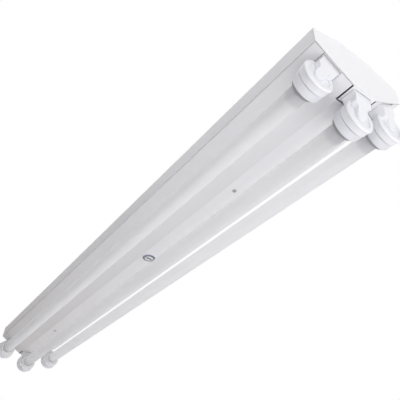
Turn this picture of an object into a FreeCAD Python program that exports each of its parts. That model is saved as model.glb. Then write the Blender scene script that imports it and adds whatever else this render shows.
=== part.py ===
import FreeCAD, Part
import math
import os
import Sketcher

# Three-lamp batten light with weatherproof screw-ring lampholders.
# The lamps face down. The origin is the middle of the flat back that lies on the ceiling,
# X runs along the lamps, Y across the body and Z up. End "a" is at +X and end "b" at -X.

Vector = FreeCAD.Vector
Rotation = FreeCAD.Rotation

# Driving sizes, in millimetres
SIZES = {
    # folded sheet body
    "body_width": 163.5,
    "back_width": 62,
    "shoulder_depth": 16,
    "flange_depth": 41.7,
    "ridge_width": 40,
    "ridge_depth": 79.5,
    "tray_sheet": 1.0,
    "cover_sheet": 0.8,
    "plate_sheet": 1.2,
    "bracket_sheet": 1.2,
    "bend_radius": 2,
    "lip_gap": 0.3,
    "lip_height": 10,
    "cover_end_gap": 0.5,
    "plate_lip_length": 12,
    "plate_lip_height": 9,
    "cut_overrun": 2,
    "edge_nearness": 0.1,
    "panel_hole_inset": 43,
    "panel_hole_radius": 2.5,
    # ceiling fixings and cable entry in the back of the tray
    "fixing_spacing": 900,
    "fixing_slot_width": 5.5,
    "fixing_slot_length": 14,
    "entry_hole_radius": 10.5,
    # lamps, 26 mm tube with two-pin caps
    "lamp_length": 1199.4,
    "lamp_inset": 25.3,
    "tube_radius": 13,
    "glass_wall": 0.8,
    "glass_neck_step": 0.8,
    "cap_length": 13,
    "cap_wall": 0.4,
    "cap_base": 2,
    "glass_cap_gap": 0.3,
    "pin_spacing": 12.7,
    "pin_radius": 1.2,
    "pin_length": 7.1,
    # lampholder housing
    "panel_clearance": 5,
    "seat_offset": 52,
    "lamp_face_gap": 0.3,
    "housing_depth": 11.5,
    "housing_back_wall": 3.3,
    "rim_band": 3,
    "rim_bevel": 1.5,
    "rim_width": 5.8,
    "rim_step": 2,
    "collar_step": 1,
    "recess_depth": 1.8,
    "recess_draft": 0.8,
    "tongue_width": 16,
    "tongue_shoulder": 4.5,
    "tongue_drop": 1,
    "lamp_pocket_gap": 0.5,
    "spigot_wall": 5.7,
    "spigot_length": 9,
    "entry_gap": 0.6,
    "foot_width": 31.6,
    "foot_plate": 1.6,
    "foot_flare": 5,
    "foot_flare_radius": 6,
    "foot_setback": 1.3,
    "foot_length": 19.5,
    "neck_width": 27.4,
    "slope_heel": 8,
    "slope_drop": 10,
    "holder_screw_radius": 1.65,
    "holder_screw_length": 8,
    "holder_screw_inset": 5,
    "screw_hole_gap": 0.05,
    "screw_tip_gap": 1,
    "wire_hole_inset": 15.5,
    "wire_hole_depth": 12,
    "wire_hole_gap": 0.4,
    "holder_screw_head_radius": 3.6,
    "holder_screw_head_height": 2.4,
    # rotor and spring contacts inside the lampholder
    "rotor_edge": 2.65,
    "rotor_play": 0.3,
    "rotor_length": 4.5,
    "rotor_recess": 0.2,
    "pin_play": 0.4,
    "contact_thickness": 0.4,
    "contact_width": 2.6,
    "contact_setback": 5.4,
    "contact_reach": 2.5,
    "contact_rise": 19.5,
    "contact_side": 11,
    "contact_slit_gap": 0.4,
    # screw ring and rubber seal
    "thread_pitch": 4,
    "thread_gap": 0.3,
    "ring_wall": 2.5,
    "ring_start": 0.9,
    "ring_front_wall": 1.5,
    "ring_nose_radius": 1.5,
    "ring_heel_bevel": 0.6,
    "ring_mouth_gap": 0.4,
    "seal_gap": 0.3,
    "seal_neck_wall": 3.1,
    "seal_flange": 1.8,
    "seal_play": 0.2,
    "seal_collar_gap": 0.3,
    "seal_collar_radius": 20.5,
    "seal_collar_reach": 4.7,
    "seal_tip_wall": 3.2,
    "seal_rim_gap": 0.8,
    # lampholder brackets
    "seat_gap": 0.2,
    "tab_gap": 1.6,
    "bracket_reach": 1.5,
    "bracket_setback": 12,
    "bracket_foot": 16,
    "foot_gap": 0.5,
    "bracket_screw_gap": 0.6,
    "bracket_wire_hole_radius": 3.2,
    # cover fixings
    "fixing_line": 5.5,
    "fastener_offset": 112,
    "ferrule_radius": 13,
    "ferrule_height": 2.2,
    "ferrule_bevel": 1.4,
    "ferrule_bore": 8.4,
    "ferrule_sleeve": 9.4,
    "ferrule_hole_gap": 0.3,
    "stud_head_radius": 7.9,
    "stud_head_height": 2.6,
    "coin_slot_width": 1.8,
    "coin_slot_length": 11,
    "coin_slot_depth": 1.5,
    "stud_neck_radius": 3.8,
    "stud_hole_gap": 0.4,
    "cross_pin_radius": 1.25,
    "cross_pin_length": 13,
    "cross_pin_gap": 0.2,
    "retainer_radius": 12,
    "retainer_thickness": 1.2,
    "retainer_gap": 0.2,
    "cover_screw_offset": 376.5,
    "cover_screw_radius": 1.9,
    "cover_screw_length": 9,
    "cover_screw_head_radius": 3.9,
    "cover_screw_head_height": 2,
    "cover_hole_gap": 0.4,
    "bridge_sheet": 1.2,
    "bridge_width": 36,
    "bridge_length": 24,
    "bridge_foot": 12,
    # control gear and wiring on the tray
    "ballast_width": 30,
    "ballast_height": 28,
    "ballast_step": 15,
    "ballast_step_height": 12,
    "ballast_lug": 12,
    "ballast_lug_thickness": 1.5,
    "twin_ballast_length": 340,
    "twin_ballast_offset": 235,
    "single_ballast_length": 250,
    "single_ballast_offset": 290,
    "weld_stud_radius": 2,
    "weld_stud_height": 7,
    "weld_stud_gap": 0.3,
    "nut_across_corners": 8.1,
    "nut_height": 3.2,
    "nut_play": 0.05,
    "terminal_length": 14,
    "terminal_side_gap": 1.5,
    "terminal_height": 13,
    "terminal_hole_radius": 1.3,
    "terminal_hole_pitch": 5,
    "terminal_hole_depth": 8,
    "mains_block_length": 44,
    "mains_block_width": 20,
    "mains_block_height": 16,
    "mains_block_x": 60,
    "mains_block_y": 11,
    "earth_stud_x": 91,
    "earth_stud_y": 11,
    "grommet_flange_radius": 14,
    "grommet_flange_height": 1.6,
    "grommet_bore_radius": 7,
    "grommet_gap": 0.2,
    "wire_radius": 1.5,
    "wire_bend_radius": 9,
    "wire_floor_height": 3.5,
    "wire_lane": 24,
    "wire_lane_step": 4.5,
    "wire_end_gap": 0.4,
    "wire_insertion": 4,
}

# Counts
TERMINAL_HOLES = 5
MAINS_POLES = 5

SIDES = ("left", "middle", "right")
ENDS = ("a", "b")


class Size:
    """A length together with the spreadsheet formula that gives it."""

    def __init__(self, value, formula):
        self.value = float(value)
        self.formula = formula

    def __add__(self, other):
        other = as_size(other)
        return Size(self.value + other.value, f"({self.formula} + {other.formula})")

    def __radd__(self, other):
        return as_size(other) + self

    def __sub__(self, other):
        other = as_size(other)
        return Size(self.value - other.value, f"({self.formula} - {other.formula})")

    def __rsub__(self, other):
        return as_size(other) - self

    def __mul__(self, other):
        other = as_size(other)
        return Size(self.value * other.value, f"({self.formula} * {other.formula})")

    def __rmul__(self, other):
        return as_size(other) * self

    def __truediv__(self, other):
        other = as_size(other)
        return Size(self.value / other.value, f"({self.formula} / {other.formula})")

    def __neg__(self):
        return Size(-self.value, f"(0 - {self.formula})")


def as_size(number):
    """Pass a Size through and give a plain number its own text as the formula."""
    if isinstance(number, Size):
        return number
    return Size(number, f"{number}")


def root_of_sum(first, second):
    """The long side of a right-angled triangle."""
    total = first * first + second * second
    return Size(math.sqrt(total.value), f"sqrt({total.formula})")


doc = FreeCAD.newDocument("TubeLight")
sheet = doc.addObject("Spreadsheet::Sheet", "Sizes")
dims = {}
for row, (alias, number) in enumerate(SIZES.items(), start=1):
    sheet.set(f"A{row}", alias)
    sheet.set(f"B{row}", str(number))
    sheet.setAlias(f"B{row}", alias)
    dims[alias] = Size(number, f"Sizes.{alias}")
doc.recompute()


def dim(alias):
    """The driving size with this alias."""
    return dims[alias]


def bind(feature, prop, size):
    """Bind one property of a feature to the sheet."""
    feature.setExpression(prop, as_size(size).formula)


def new_body(label):
    """A PartDesign body whose label becomes the name of its file."""
    body = doc.addObject("PartDesign::Body", label)
    body.Label = label
    return body


def origin_plane(body, role):
    """One of the body's own origin planes."""
    return next(plane for plane in body.Origin.OriginFeatures if plane.Role == role)


def new_sketch(body, name, role, offset=None):
    """A sketch on one of the body's origin planes, moved along its normal by offset."""
    sketch = body.newObject("Sketcher::SketchObject", name)
    sketch.AttachmentSupport = (origin_plane(body, role), [""])
    sketch.MapMode = "FlatFace"
    if offset is not None:
        bind(sketch, "AttachmentOffset.Base.z", offset)
    return sketch


def fix_point(sketch, geometry, position, point):
    """Hold one point of the sketch at its two distances from the origin."""
    for kind, axis, size in (("DistanceX", -2, point[0]), ("DistanceY", -1, point[1])):
        size = as_size(size)
        if size.formula == "0":
            sketch.addConstraint(Sketcher.Constraint("PointOnObject", geometry, position, axis))
            continue
        index = sketch.addConstraint(
            Sketcher.Constraint(kind, -1, 1, geometry, position, size.value)
        )
        bind(sketch, f"Constraints[{index}]", size)


def draw_loop(sketch, points):
    """A closed outline of straight lines through the points."""
    first = sketch.GeometryCount
    vectors = [Vector(as_size(x).value, as_size(y).value, 0) for x, y in points]
    for start, end in zip(vectors, vectors[1:] + vectors[:1]):
        sketch.addGeometry(Part.LineSegment(start, end))
    for number, point in enumerate(points):
        following = first + (number + 1) % len(points)
        sketch.addConstraint(
            Sketcher.Constraint("Coincident", first + number, 2, following, 1)
        )
        fix_point(sketch, first + number, 1, point)


def draw_box(sketch, low, high):
    """A rectangle from its low corner to its high corner."""
    draw_loop(sketch, [low, (high[0], low[1]), high, (low[0], high[1])])


def draw_circle(sketch, centre, radius):
    """A circle held by its centre and its radius."""
    middle = Vector(as_size(centre[0]).value, as_size(centre[1]).value, 0)
    number = sketch.addGeometry(Part.Circle(middle, Vector(0, 0, 1), radius.value))
    fix_point(sketch, number, 3, centre)
    index = sketch.addConstraint(Sketcher.Constraint("Radius", number, radius.value))
    bind(sketch, f"Constraints[{index}]", radius)


def draw_slot(sketch, centre, length, width):
    """A slot with round ends whose length runs along the sketch's first axis."""
    radius = width / 2
    reach = length / 2 - radius
    left = centre[0] - reach
    right = centre[0] + reach
    low = centre[1] - radius
    high = centre[1] + radius
    first = sketch.GeometryCount
    corners = [(left, low), (right, low), (right, high), (left, high)]
    points = [Vector(as_size(x).value, as_size(y).value, 0) for x, y in corners]
    middle_right = Vector(right.value, as_size(centre[1]).value, 0)
    middle_left = Vector(left.value, as_size(centre[1]).value, 0)
    quarter = math.pi / 2
    ends = (Part.Circle(middle_right, Vector(0, 0, 1), radius.value),
            Part.Circle(middle_left, Vector(0, 0, 1), radius.value))
    sketch.addGeometry(Part.LineSegment(points[0], points[1]))
    sketch.addGeometry(Part.ArcOfCircle(ends[0], -quarter, quarter))
    sketch.addGeometry(Part.LineSegment(points[2], points[3]))
    sketch.addGeometry(Part.ArcOfCircle(ends[1], quarter, quarter + math.pi))
    links = [(0, 2, 1, 1), (1, 2, 2, 1), (2, 2, 3, 1), (3, 2, 0, 1)]
    for one, one_end, other, other_end in links:
        sketch.addConstraint(
            Sketcher.Constraint("Coincident", first + one, one_end, first + other, other_end)
        )
    for line, point in ((0, 0), (2, 2)):
        fix_point(sketch, first + line, 1, corners[point])
        fix_point(sketch, first + line, 2, corners[point + 1])
    for arc, middle in ((1, right), (3, left)):
        index = sketch.addConstraint(
            Sketcher.Constraint("DistanceX", -1, 1, first + arc, 3, middle.value)
        )
        bind(sketch, f"Constraints[{index}]", middle)


def pad(body, name, sketch, length, symmetric=False, reversed_way=False):
    """Extrude a sketch."""
    feature = body.newObject("PartDesign::Pad", name)
    feature.Profile = sketch
    bind(feature, "Length", length)
    feature.Midplane = symmetric
    feature.Reversed = reversed_way
    return feature


def pocket(body, name, sketch, length):
    """Cut a sketch out of the body, half the length to each side of the sketch."""
    feature = body.newObject("PartDesign::Pocket", name)
    feature.Profile = sketch
    bind(feature, "Length", length)
    feature.Midplane = True
    return feature


def revolve(body, name, points):
    """Turn an outline of (along, radius) points about the body's X axis."""
    sketch = new_sketch(body, f"{name}_profile", "XZ_Plane")
    draw_loop(sketch, points)
    feature = body.newObject("PartDesign::Revolution", name)
    feature.Profile = sketch
    feature.ReferenceAxis = (sketch, ["H_Axis"])
    feature.Angle = 360
    return feature


def revolve_upright(body, name, points):
    """Turn an outline of (radius, height) points about the body's Z axis."""
    sketch = new_sketch(body, f"{name}_profile", "XZ_Plane")
    draw_loop(sketch, points)
    feature = body.newObject("PartDesign::Revolution", name)
    feature.Profile = sketch
    feature.ReferenceAxis = (sketch, ["V_Axis"])
    feature.Angle = 360
    return feature


def along_x_edges(feature, y, z):
    """The edges of a feature that run along X through (y, z)."""
    near = dim("edge_nearness").value
    names = []
    for number, edge in enumerate(feature.Shape.Edges, start=1):
        ends = [vertex.Point for vertex in edge.Vertexes]
        if all(abs(end.y - y.value) < near and abs(end.z - z.value) < near for end in ends):
            names.append(f"Edge{number}")
    return names


def round_edges(body, name, feature, edges, radius):
    """Round the named edges."""
    rounding = body.newObject("PartDesign::Fillet", name)
    rounding.Base = (feature, edges)
    bind(rounding, "Radius", radius)
    return rounding


def subtract_cylinder(body, name, radius, height, base, direction):
    """Drill a round hole from a base point along a direction."""
    hole = body.newObject("PartDesign::SubtractiveCylinder", name)
    bind(hole, "Radius", radius)
    bind(hole, "Height", height)
    hole.Placement = FreeCAD.Placement(base, Rotation(Vector(0, 0, 1), direction))
    return hole


def add_cylinder(body, name, radius, height, base, direction):
    """Add a round boss from a base point along a direction."""
    boss = body.newObject("PartDesign::AdditiveCylinder", name)
    bind(boss, "Radius", radius)
    bind(boss, "Height", height)
    boss.Placement = FreeCAD.Placement(base, Rotation(Vector(0, 0, 1), direction))
    return boss


def subtract_box(body, name, low, high):
    """Cut a square-cornered space between two corners."""
    space = body.newObject("PartDesign::SubtractiveBox", name)
    for prop, start, end in zip(("Length", "Width", "Height"), low, high):
        bind(space, prop, as_size(end) - as_size(start))
    space.Placement = FreeCAD.Placement(vector(*low), Rotation())
    return space


def vector(x, y, z):
    """A point from three sizes."""
    return Vector(as_size(x).value, as_size(y).value, as_size(z).value)


def place(feature, x, y, z, rotation=None):
    """Put a Part feature at a point that follows the sheet."""
    if rotation is not None:
        feature.Placement = FreeCAD.Placement(vector(x, y, z), rotation)
    for axis, size in (("x", x), ("y", y), ("z", z)):
        bind(feature, f"Placement.Base.{axis}", size)
    return feature


def cylinder(name, radius, height):
    """A plain Part cylinder standing on its own origin."""
    solid = doc.addObject("Part::Cylinder", name)
    bind(solid, "Radius", radius)
    bind(solid, "Height", height)
    return solid


def block(name, low, high):
    """A plain Part box between two corners."""
    solid = doc.addObject("Part::Box", name)
    for prop, start, end in zip(("Length", "Width", "Height"), low, high):
        bind(solid, prop, as_size(end) - as_size(start))
    place(solid, *low)
    return solid


def fuse(name, pieces):
    """Join solids into one."""
    joined = doc.addObject("Part::MultiFuse", name)
    joined.Shapes = pieces
    return joined


def cut(name, base, tool):
    """Take one solid away from another."""
    result = doc.addObject("Part::Cut", name)
    result.Base = base
    result.Tool = tool
    return result


def group(label, pieces):
    """Several separate solids that share one node."""
    shared = doc.addObject("Part::Compound", label)
    shared.Label = label
    shared.Links = pieces
    return shared


nodes = []


def keep(feature):
    """List a finished sub-part for the export."""
    nodes.append(feature)
    return feature


# Places that several pieces share
half_width = dim("body_width") / 2
half_ridge = dim("ridge_width") / 2
half_lamp = dim("lamp_length") / 2
half_body = half_lamp + dim("lamp_inset")
slope_run = half_width - half_ridge
slope_rise = dim("ridge_depth") - dim("flange_depth")
slope_length = root_of_sum(slope_run, slope_rise)
slope_cos = slope_run / slope_length
slope_sin = slope_rise / slope_length
slope_tan = slope_rise / slope_run
slope_half_tan = slope_rise / (slope_length + slope_run)
slope_angle = math.degrees(math.atan2(slope_rise.value, slope_run.value))

pocket_radius = dim("tube_radius") + dim("lamp_pocket_gap")
spigot_radius = pocket_radius + dim("spigot_wall")
ring_bore = spigot_radius + dim("thread_gap")
ring_radius = ring_bore + dim("ring_wall")
disc_radius = ring_radius + dim("rim_step")
collar_radius = disc_radius - dim("collar_step")
seat_height = disc_radius + dim("panel_clearance")
rotor_radius = dim("pin_spacing") / 2 + dim("pin_radius") + dim("rotor_edge")
rotor_bore = rotor_radius + dim("rotor_play")
seat_drop = dim("cover_sheet") + dim("seat_gap")

housing_front = -dim("lamp_face_gap")
housing_back = housing_front - dim("housing_depth")
chamber_back = housing_back + dim("housing_back_wall")
foot_front = -dim("foot_setback")
foot_back = foot_front - dim("foot_length")
plate_inside = dim("plate_sheet") - dim("lamp_inset")


half_back = dim("back_width") / 2
shoulder_run = half_width - half_back
shoulder_length = root_of_sum(shoulder_run, dim("shoulder_depth"))
shoulder_cos = shoulder_run / shoulder_length
shoulder_tan = dim("shoulder_depth") / shoulder_run
shoulder_half_tan = dim("shoulder_depth") / (shoulder_length + shoulder_run)


def depth_of_shoulder(y, below):
    """How far below the ceiling the tray's shoulder lies at y, and a distance square to it."""
    return (y - half_back) * shoulder_tan + below / shoulder_cos


def depth_of_slope(y, below):
    """How far below the ceiling a sloping panel lies at y, less a distance square to it."""
    return dim("flange_depth") + (half_width - y) * slope_tan - below / slope_cos


def end_placement(end):
    """Local X runs from the end of the lamp towards its middle, Z stays up."""
    if end == "a":
        return FreeCAD.Placement(vector(half_lamp, 0, 0), Rotation(Vector(0, 0, 1), 180))
    return FreeCAD.Placement(vector(-half_lamp, 0, 0), Rotation())


def seat_direction(side):
    """The direction from a lamp's axis straight up to the seat of its lampholder."""
    lean = {"left": slope_sin.value, "middle": 0, "right": -slope_sin.value}[side]
    rise = {"left": slope_cos.value, "middle": 1, "right": slope_cos.value}[side]
    return Vector(0, lean, rise)


def seat_point(side):
    """The middle of the seat that a side's lampholders stand on, at X = 0."""
    if side == "middle":
        return vector(0, 0, -dim("ridge_depth"))
    panel_y = dim("seat_offset")
    panel_z = -depth_of_slope(panel_y, as_size(0))
    outward = -1 if side == "left" else 1
    return vector(0, outward * panel_y, panel_z) + seat_direction(side) * seat_drop.value


def lamp_axis(side):
    """A point on the lamp's axis, at X = 0."""
    return seat_point(side) - seat_direction(side) * seat_height.value


def holder_placement(side, end):
    """Local X from the lamp's end to its middle, local Z from the axis up to the seat."""
    roll = {"left": -slope_angle, "middle": 0, "right": slope_angle}[side]
    turn = Rotation(Vector(1, 0, 0), roll)
    along = -half_lamp.value
    if end == "a":
        turn = turn.multiply(Rotation(Vector(0, 0, 1), 180))
        along = half_lamp.value
    return FreeCAD.Placement(lamp_axis(side) + Vector(along, 0, 0), turn)


def entry_way(side, end):
    """The local Y way in which a lamp's pins leave its lampholder, away from the ridge."""
    outward = -1 if side == "left" else 1
    return outward if end == "b" else -outward


def ordered(one, other):
    """Two sizes, the lower first."""
    return sorted((as_size(one), as_size(other)), key=lambda size: size.value)


def make_gear_tray():
    """Folded sheet tray: flat back on the ceiling, two sloping shoulders and two flanges."""
    body = new_body("gear_tray")
    sheet_wall = dim("tray_sheet")
    inside = half_width - sheet_wall
    inner_back = half_back - sheet_wall * shoulder_half_tan
    section = new_sketch(body, "tray_section", "YZ_Plane")
    right = [
        (half_back, 0),
        (half_width, -dim("shoulder_depth")),
        (half_width, -dim("flange_depth")),
        (inside, -dim("flange_depth")),
        (inside, -depth_of_shoulder(inside, sheet_wall)),
        (inner_back, -sheet_wall),
    ]
    left = [(-y, z) for y, z in reversed(right)]
    draw_loop(section, right + left)
    channel_length = 2 * (half_body - dim("plate_sheet"))
    pad(body, "tray_channel", section, channel_length, symmetric=True)
    openings = new_sketch(body, "tray_openings", "XY_Plane")
    for way in (-1, 1):
        centre = (way * dim("fixing_spacing") / 2, as_size(0))
        draw_slot(openings, centre, dim("fixing_slot_length"), dim("fixing_slot_width"))
    draw_circle(openings, (0, 0), dim("entry_hole_radius"))
    pocket(body, "tray_holes", openings, 2 * (sheet_wall + dim("cut_overrun")))
    studs = new_sketch(body, "tray_studs", "XY_Plane", -sheet_wall)
    for x, y in stud_places():
        draw_circle(studs, (x, y), dim("weld_stud_radius"))
    pad(body, "tray_weld_studs", studs, dim("weld_stud_height"), reversed_way=True)
    return keep(body)


def ballast_ends():
    """The middle and the length of each ballast along X."""
    return {
        "twin": (-dim("twin_ballast_offset"), dim("twin_ballast_length")),
        "single": (dim("single_ballast_offset"), dim("single_ballast_length")),
    }


def stud_places():
    """Weld studs for the ballast lugs, and the earth stud last."""
    places = []
    for middle, length in ballast_ends().values():
        reach = length / 2 + dim("ballast_lug") / 2
        places += [(middle - reach, as_size(0)), (middle + reach, as_size(0))]
    places.append((dim("earth_stud_x"), dim("earth_stud_y")))
    return places


def make_cover():
    """Folded reflector cover: two lips inside the tray, two sloping panels and a flat ridge."""
    body = new_body("reflector_cover")
    wall = dim("cover_sheet")
    outer_lip = half_width - dim("tray_sheet") - dim("lip_gap")
    inner_lip = outer_lip - wall
    lip_top = dim("flange_depth") - dim("lip_height")
    inner_ridge = half_ridge - wall * slope_half_tan
    section = new_sketch(body, "cover_section", "YZ_Plane")
    right = [
        (outer_lip, -lip_top),
        (outer_lip, -depth_of_slope(outer_lip, as_size(0))),
        (half_ridge, -dim("ridge_depth")),
    ]
    right_inner = [
        (inner_ridge, wall - dim("ridge_depth")),
        (inner_lip, -depth_of_slope(inner_lip, wall)),
        (inner_lip, -lip_top),
    ]
    left = [(-y, z) for y, z in reversed(right)]
    left_inner = [(-y, z) for y, z in reversed(right_inner)]
    draw_loop(section, right + left + left_inner + right_inner)
    cover_length = 2 * (half_body - dim("plate_sheet") - dim("cover_end_gap"))
    shell = pad(body, "cover_folded_sheet", section, cover_length, symmetric=True)
    doc.recompute()
    outer_edges = []
    inner_edges = []
    for way in (-1, 1):
        outer_edges += along_x_edges(shell, way * half_ridge, -dim("ridge_depth"))
        inner_edges += along_x_edges(shell, way * inner_ridge, wall - dim("ridge_depth"))
    bend = round_edges(body, "cover_outer_bends", shell, outer_edges, dim("bend_radius"))
    doc.recompute()
    inner_edges = []
    for way in (-1, 1):
        inner_edges += along_x_edges(bend, way * inner_ridge, wall - dim("ridge_depth"))
    round_edges(body, "cover_inner_bends", bend, inner_edges, dim("bend_radius") - wall)

    openings = new_sketch(body, "cover_openings", "XY_Plane", -dim("ridge_depth"))
    tab_half = half_ridge + dim("tab_gap")
    tab_end = half_lamp - dim("bracket_reach") - dim("tab_gap")
    foot_half = (dim("foot_width") / 2 + dim("foot_gap")) * slope_cos
    foot_middle = dim("seat_offset")
    foot_end = half_lamp - foot_front - dim("foot_gap")
    past_end = half_body + dim("cut_overrun")
    for way in (-1, 1):
        near, far = sorted((way * tab_end, way * past_end), key=lambda size: size.value)
        draw_box(openings, (near, -tab_half), (far, tab_half))
        near, far = sorted((way * foot_end, way * past_end), key=lambda size: size.value)
        draw_box(openings, (near, foot_middle - foot_half), (far, foot_middle + foot_half))
        draw_box(openings, (near, -foot_middle - foot_half), (far, foot_half - foot_middle))
    ferrule_hole = dim("ferrule_sleeve") + dim("ferrule_hole_gap")
    draw_circle(openings, (dim("fastener_offset"), -dim("fixing_line")), ferrule_hole)
    screw_hole = dim("cover_screw_radius") + dim("cover_hole_gap")
    for way in (-1, 1):
        centre = (way * dim("cover_screw_offset"), -dim("fixing_line"))
        draw_circle(openings, centre, screw_hole)
    pocket(body, "cover_cutouts", openings, 2 * dim("ridge_depth"))
    hole_x = half_body - dim("panel_hole_inset")
    hole_depth = wall + 2 * dim("cut_overrun")
    for side in ("left", "right"):
        direction = seat_direction(side)
        start = seat_point(side) - direction * (seat_drop + dim("cut_overrun")).value
        for way, end in ((1, "a"), (-1, "b")):
            base = start + vector(way * hole_x, 0, 0)
            subtract_cylinder(body, f"panel_hole_{side}_{end}", dim("panel_hole_radius"),
                              hole_depth, base, direction)
    return keep(body)


def make_end_plate(end):
    """Flat end plate in the outline of the body, with two lips welded inside the tray."""
    body = new_body(f"end_plate_{end}")
    outline = new_sketch(body, f"plate_outline_{end}", "YZ_Plane", -dim("lamp_inset"))
    right = [
        (half_ridge, -dim("ridge_depth")),
        (half_width, -dim("flange_depth")),
        (half_width, -dim("shoulder_depth")),
        (half_back, 0),
    ]
    left = [(-y, z) for y, z in reversed(right)]
    draw_loop(outline, right + left)
    pad(body, f"plate_{end}", outline, dim("plate_sheet"))
    lips = new_sketch(body, f"plate_lips_{end}", "YZ_Plane", -dim("lamp_inset"))
    outer = half_width - dim("tray_sheet")
    inner = outer - dim("plate_sheet")
    top = -depth_of_shoulder(outer, dim("tray_sheet"))
    bottom = top - dim("plate_lip_height")
    draw_box(lips, (inner, bottom), (outer, top))
    draw_box(lips, (-outer, bottom), (-inner, top))
    pad(body, f"plate_return_lips_{end}", lips, dim("plate_lip_length"))
    body.Placement = end_placement(end)
    return keep(body)


def make_bracket(end):
    """Folded bracket: a tab level with the ridge and a sloping seat under each panel."""
    body = new_body(f"lampholder_bracket_{end}")
    wall = dim("bracket_sheet")
    floor = dim("tray_sheet")
    leg = half_width - dim("bracket_setback")
    toe = leg - dim("bracket_foot")
    tab_top = dim("ridge_depth") - wall
    right = [
        (half_ridge, -dim("ridge_depth")),
        (half_ridge, -depth_of_slope(half_ridge, seat_drop)),
        (leg, -depth_of_slope(leg, seat_drop)),
        (leg, -depth_of_shoulder(leg, floor)),
        (toe, -depth_of_shoulder(toe, floor)),
        (toe, -depth_of_shoulder(toe, floor + wall)),
        (leg - wall, -depth_of_shoulder(leg - wall, floor + wall)),
        (leg - wall, -depth_of_slope(leg - wall, seat_drop + wall)),
        (half_ridge - wall, -depth_of_slope(half_ridge - wall, seat_drop + wall)),
        (half_ridge - wall, -tab_top),
    ]
    left = [(-y, z) for y, z in reversed(right)]
    section = new_sketch(body, f"bracket_section_{end}", "YZ_Plane", plate_inside)
    draw_loop(section, right + left)
    bracket_length = dim("bracket_reach") - plate_inside
    pad(body, f"bracket_folded_sheet_{end}", section, bracket_length)
    depth = wall + 2 * dim("cut_overrun")
    screw_hole = dim("holder_screw_radius") + dim("bracket_screw_gap")
    for side in SIDES:
        direction = seat_direction(side)
        start = seat_point(side) - direction * dim("cut_overrun").value
        for name, inset, radius in (
            ("screw_hole", dim("holder_screw_inset"), screw_hole),
            ("wire_hole", dim("wire_hole_inset"), dim("bracket_wire_hole_radius")),
        ):
            base = start - vector(inset, 0, 0)
            subtract_cylinder(body, f"{name}_{side}_{end}", radius, depth, base, direction)
    body.Placement = end_placement(end)
    return keep(body)


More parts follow.
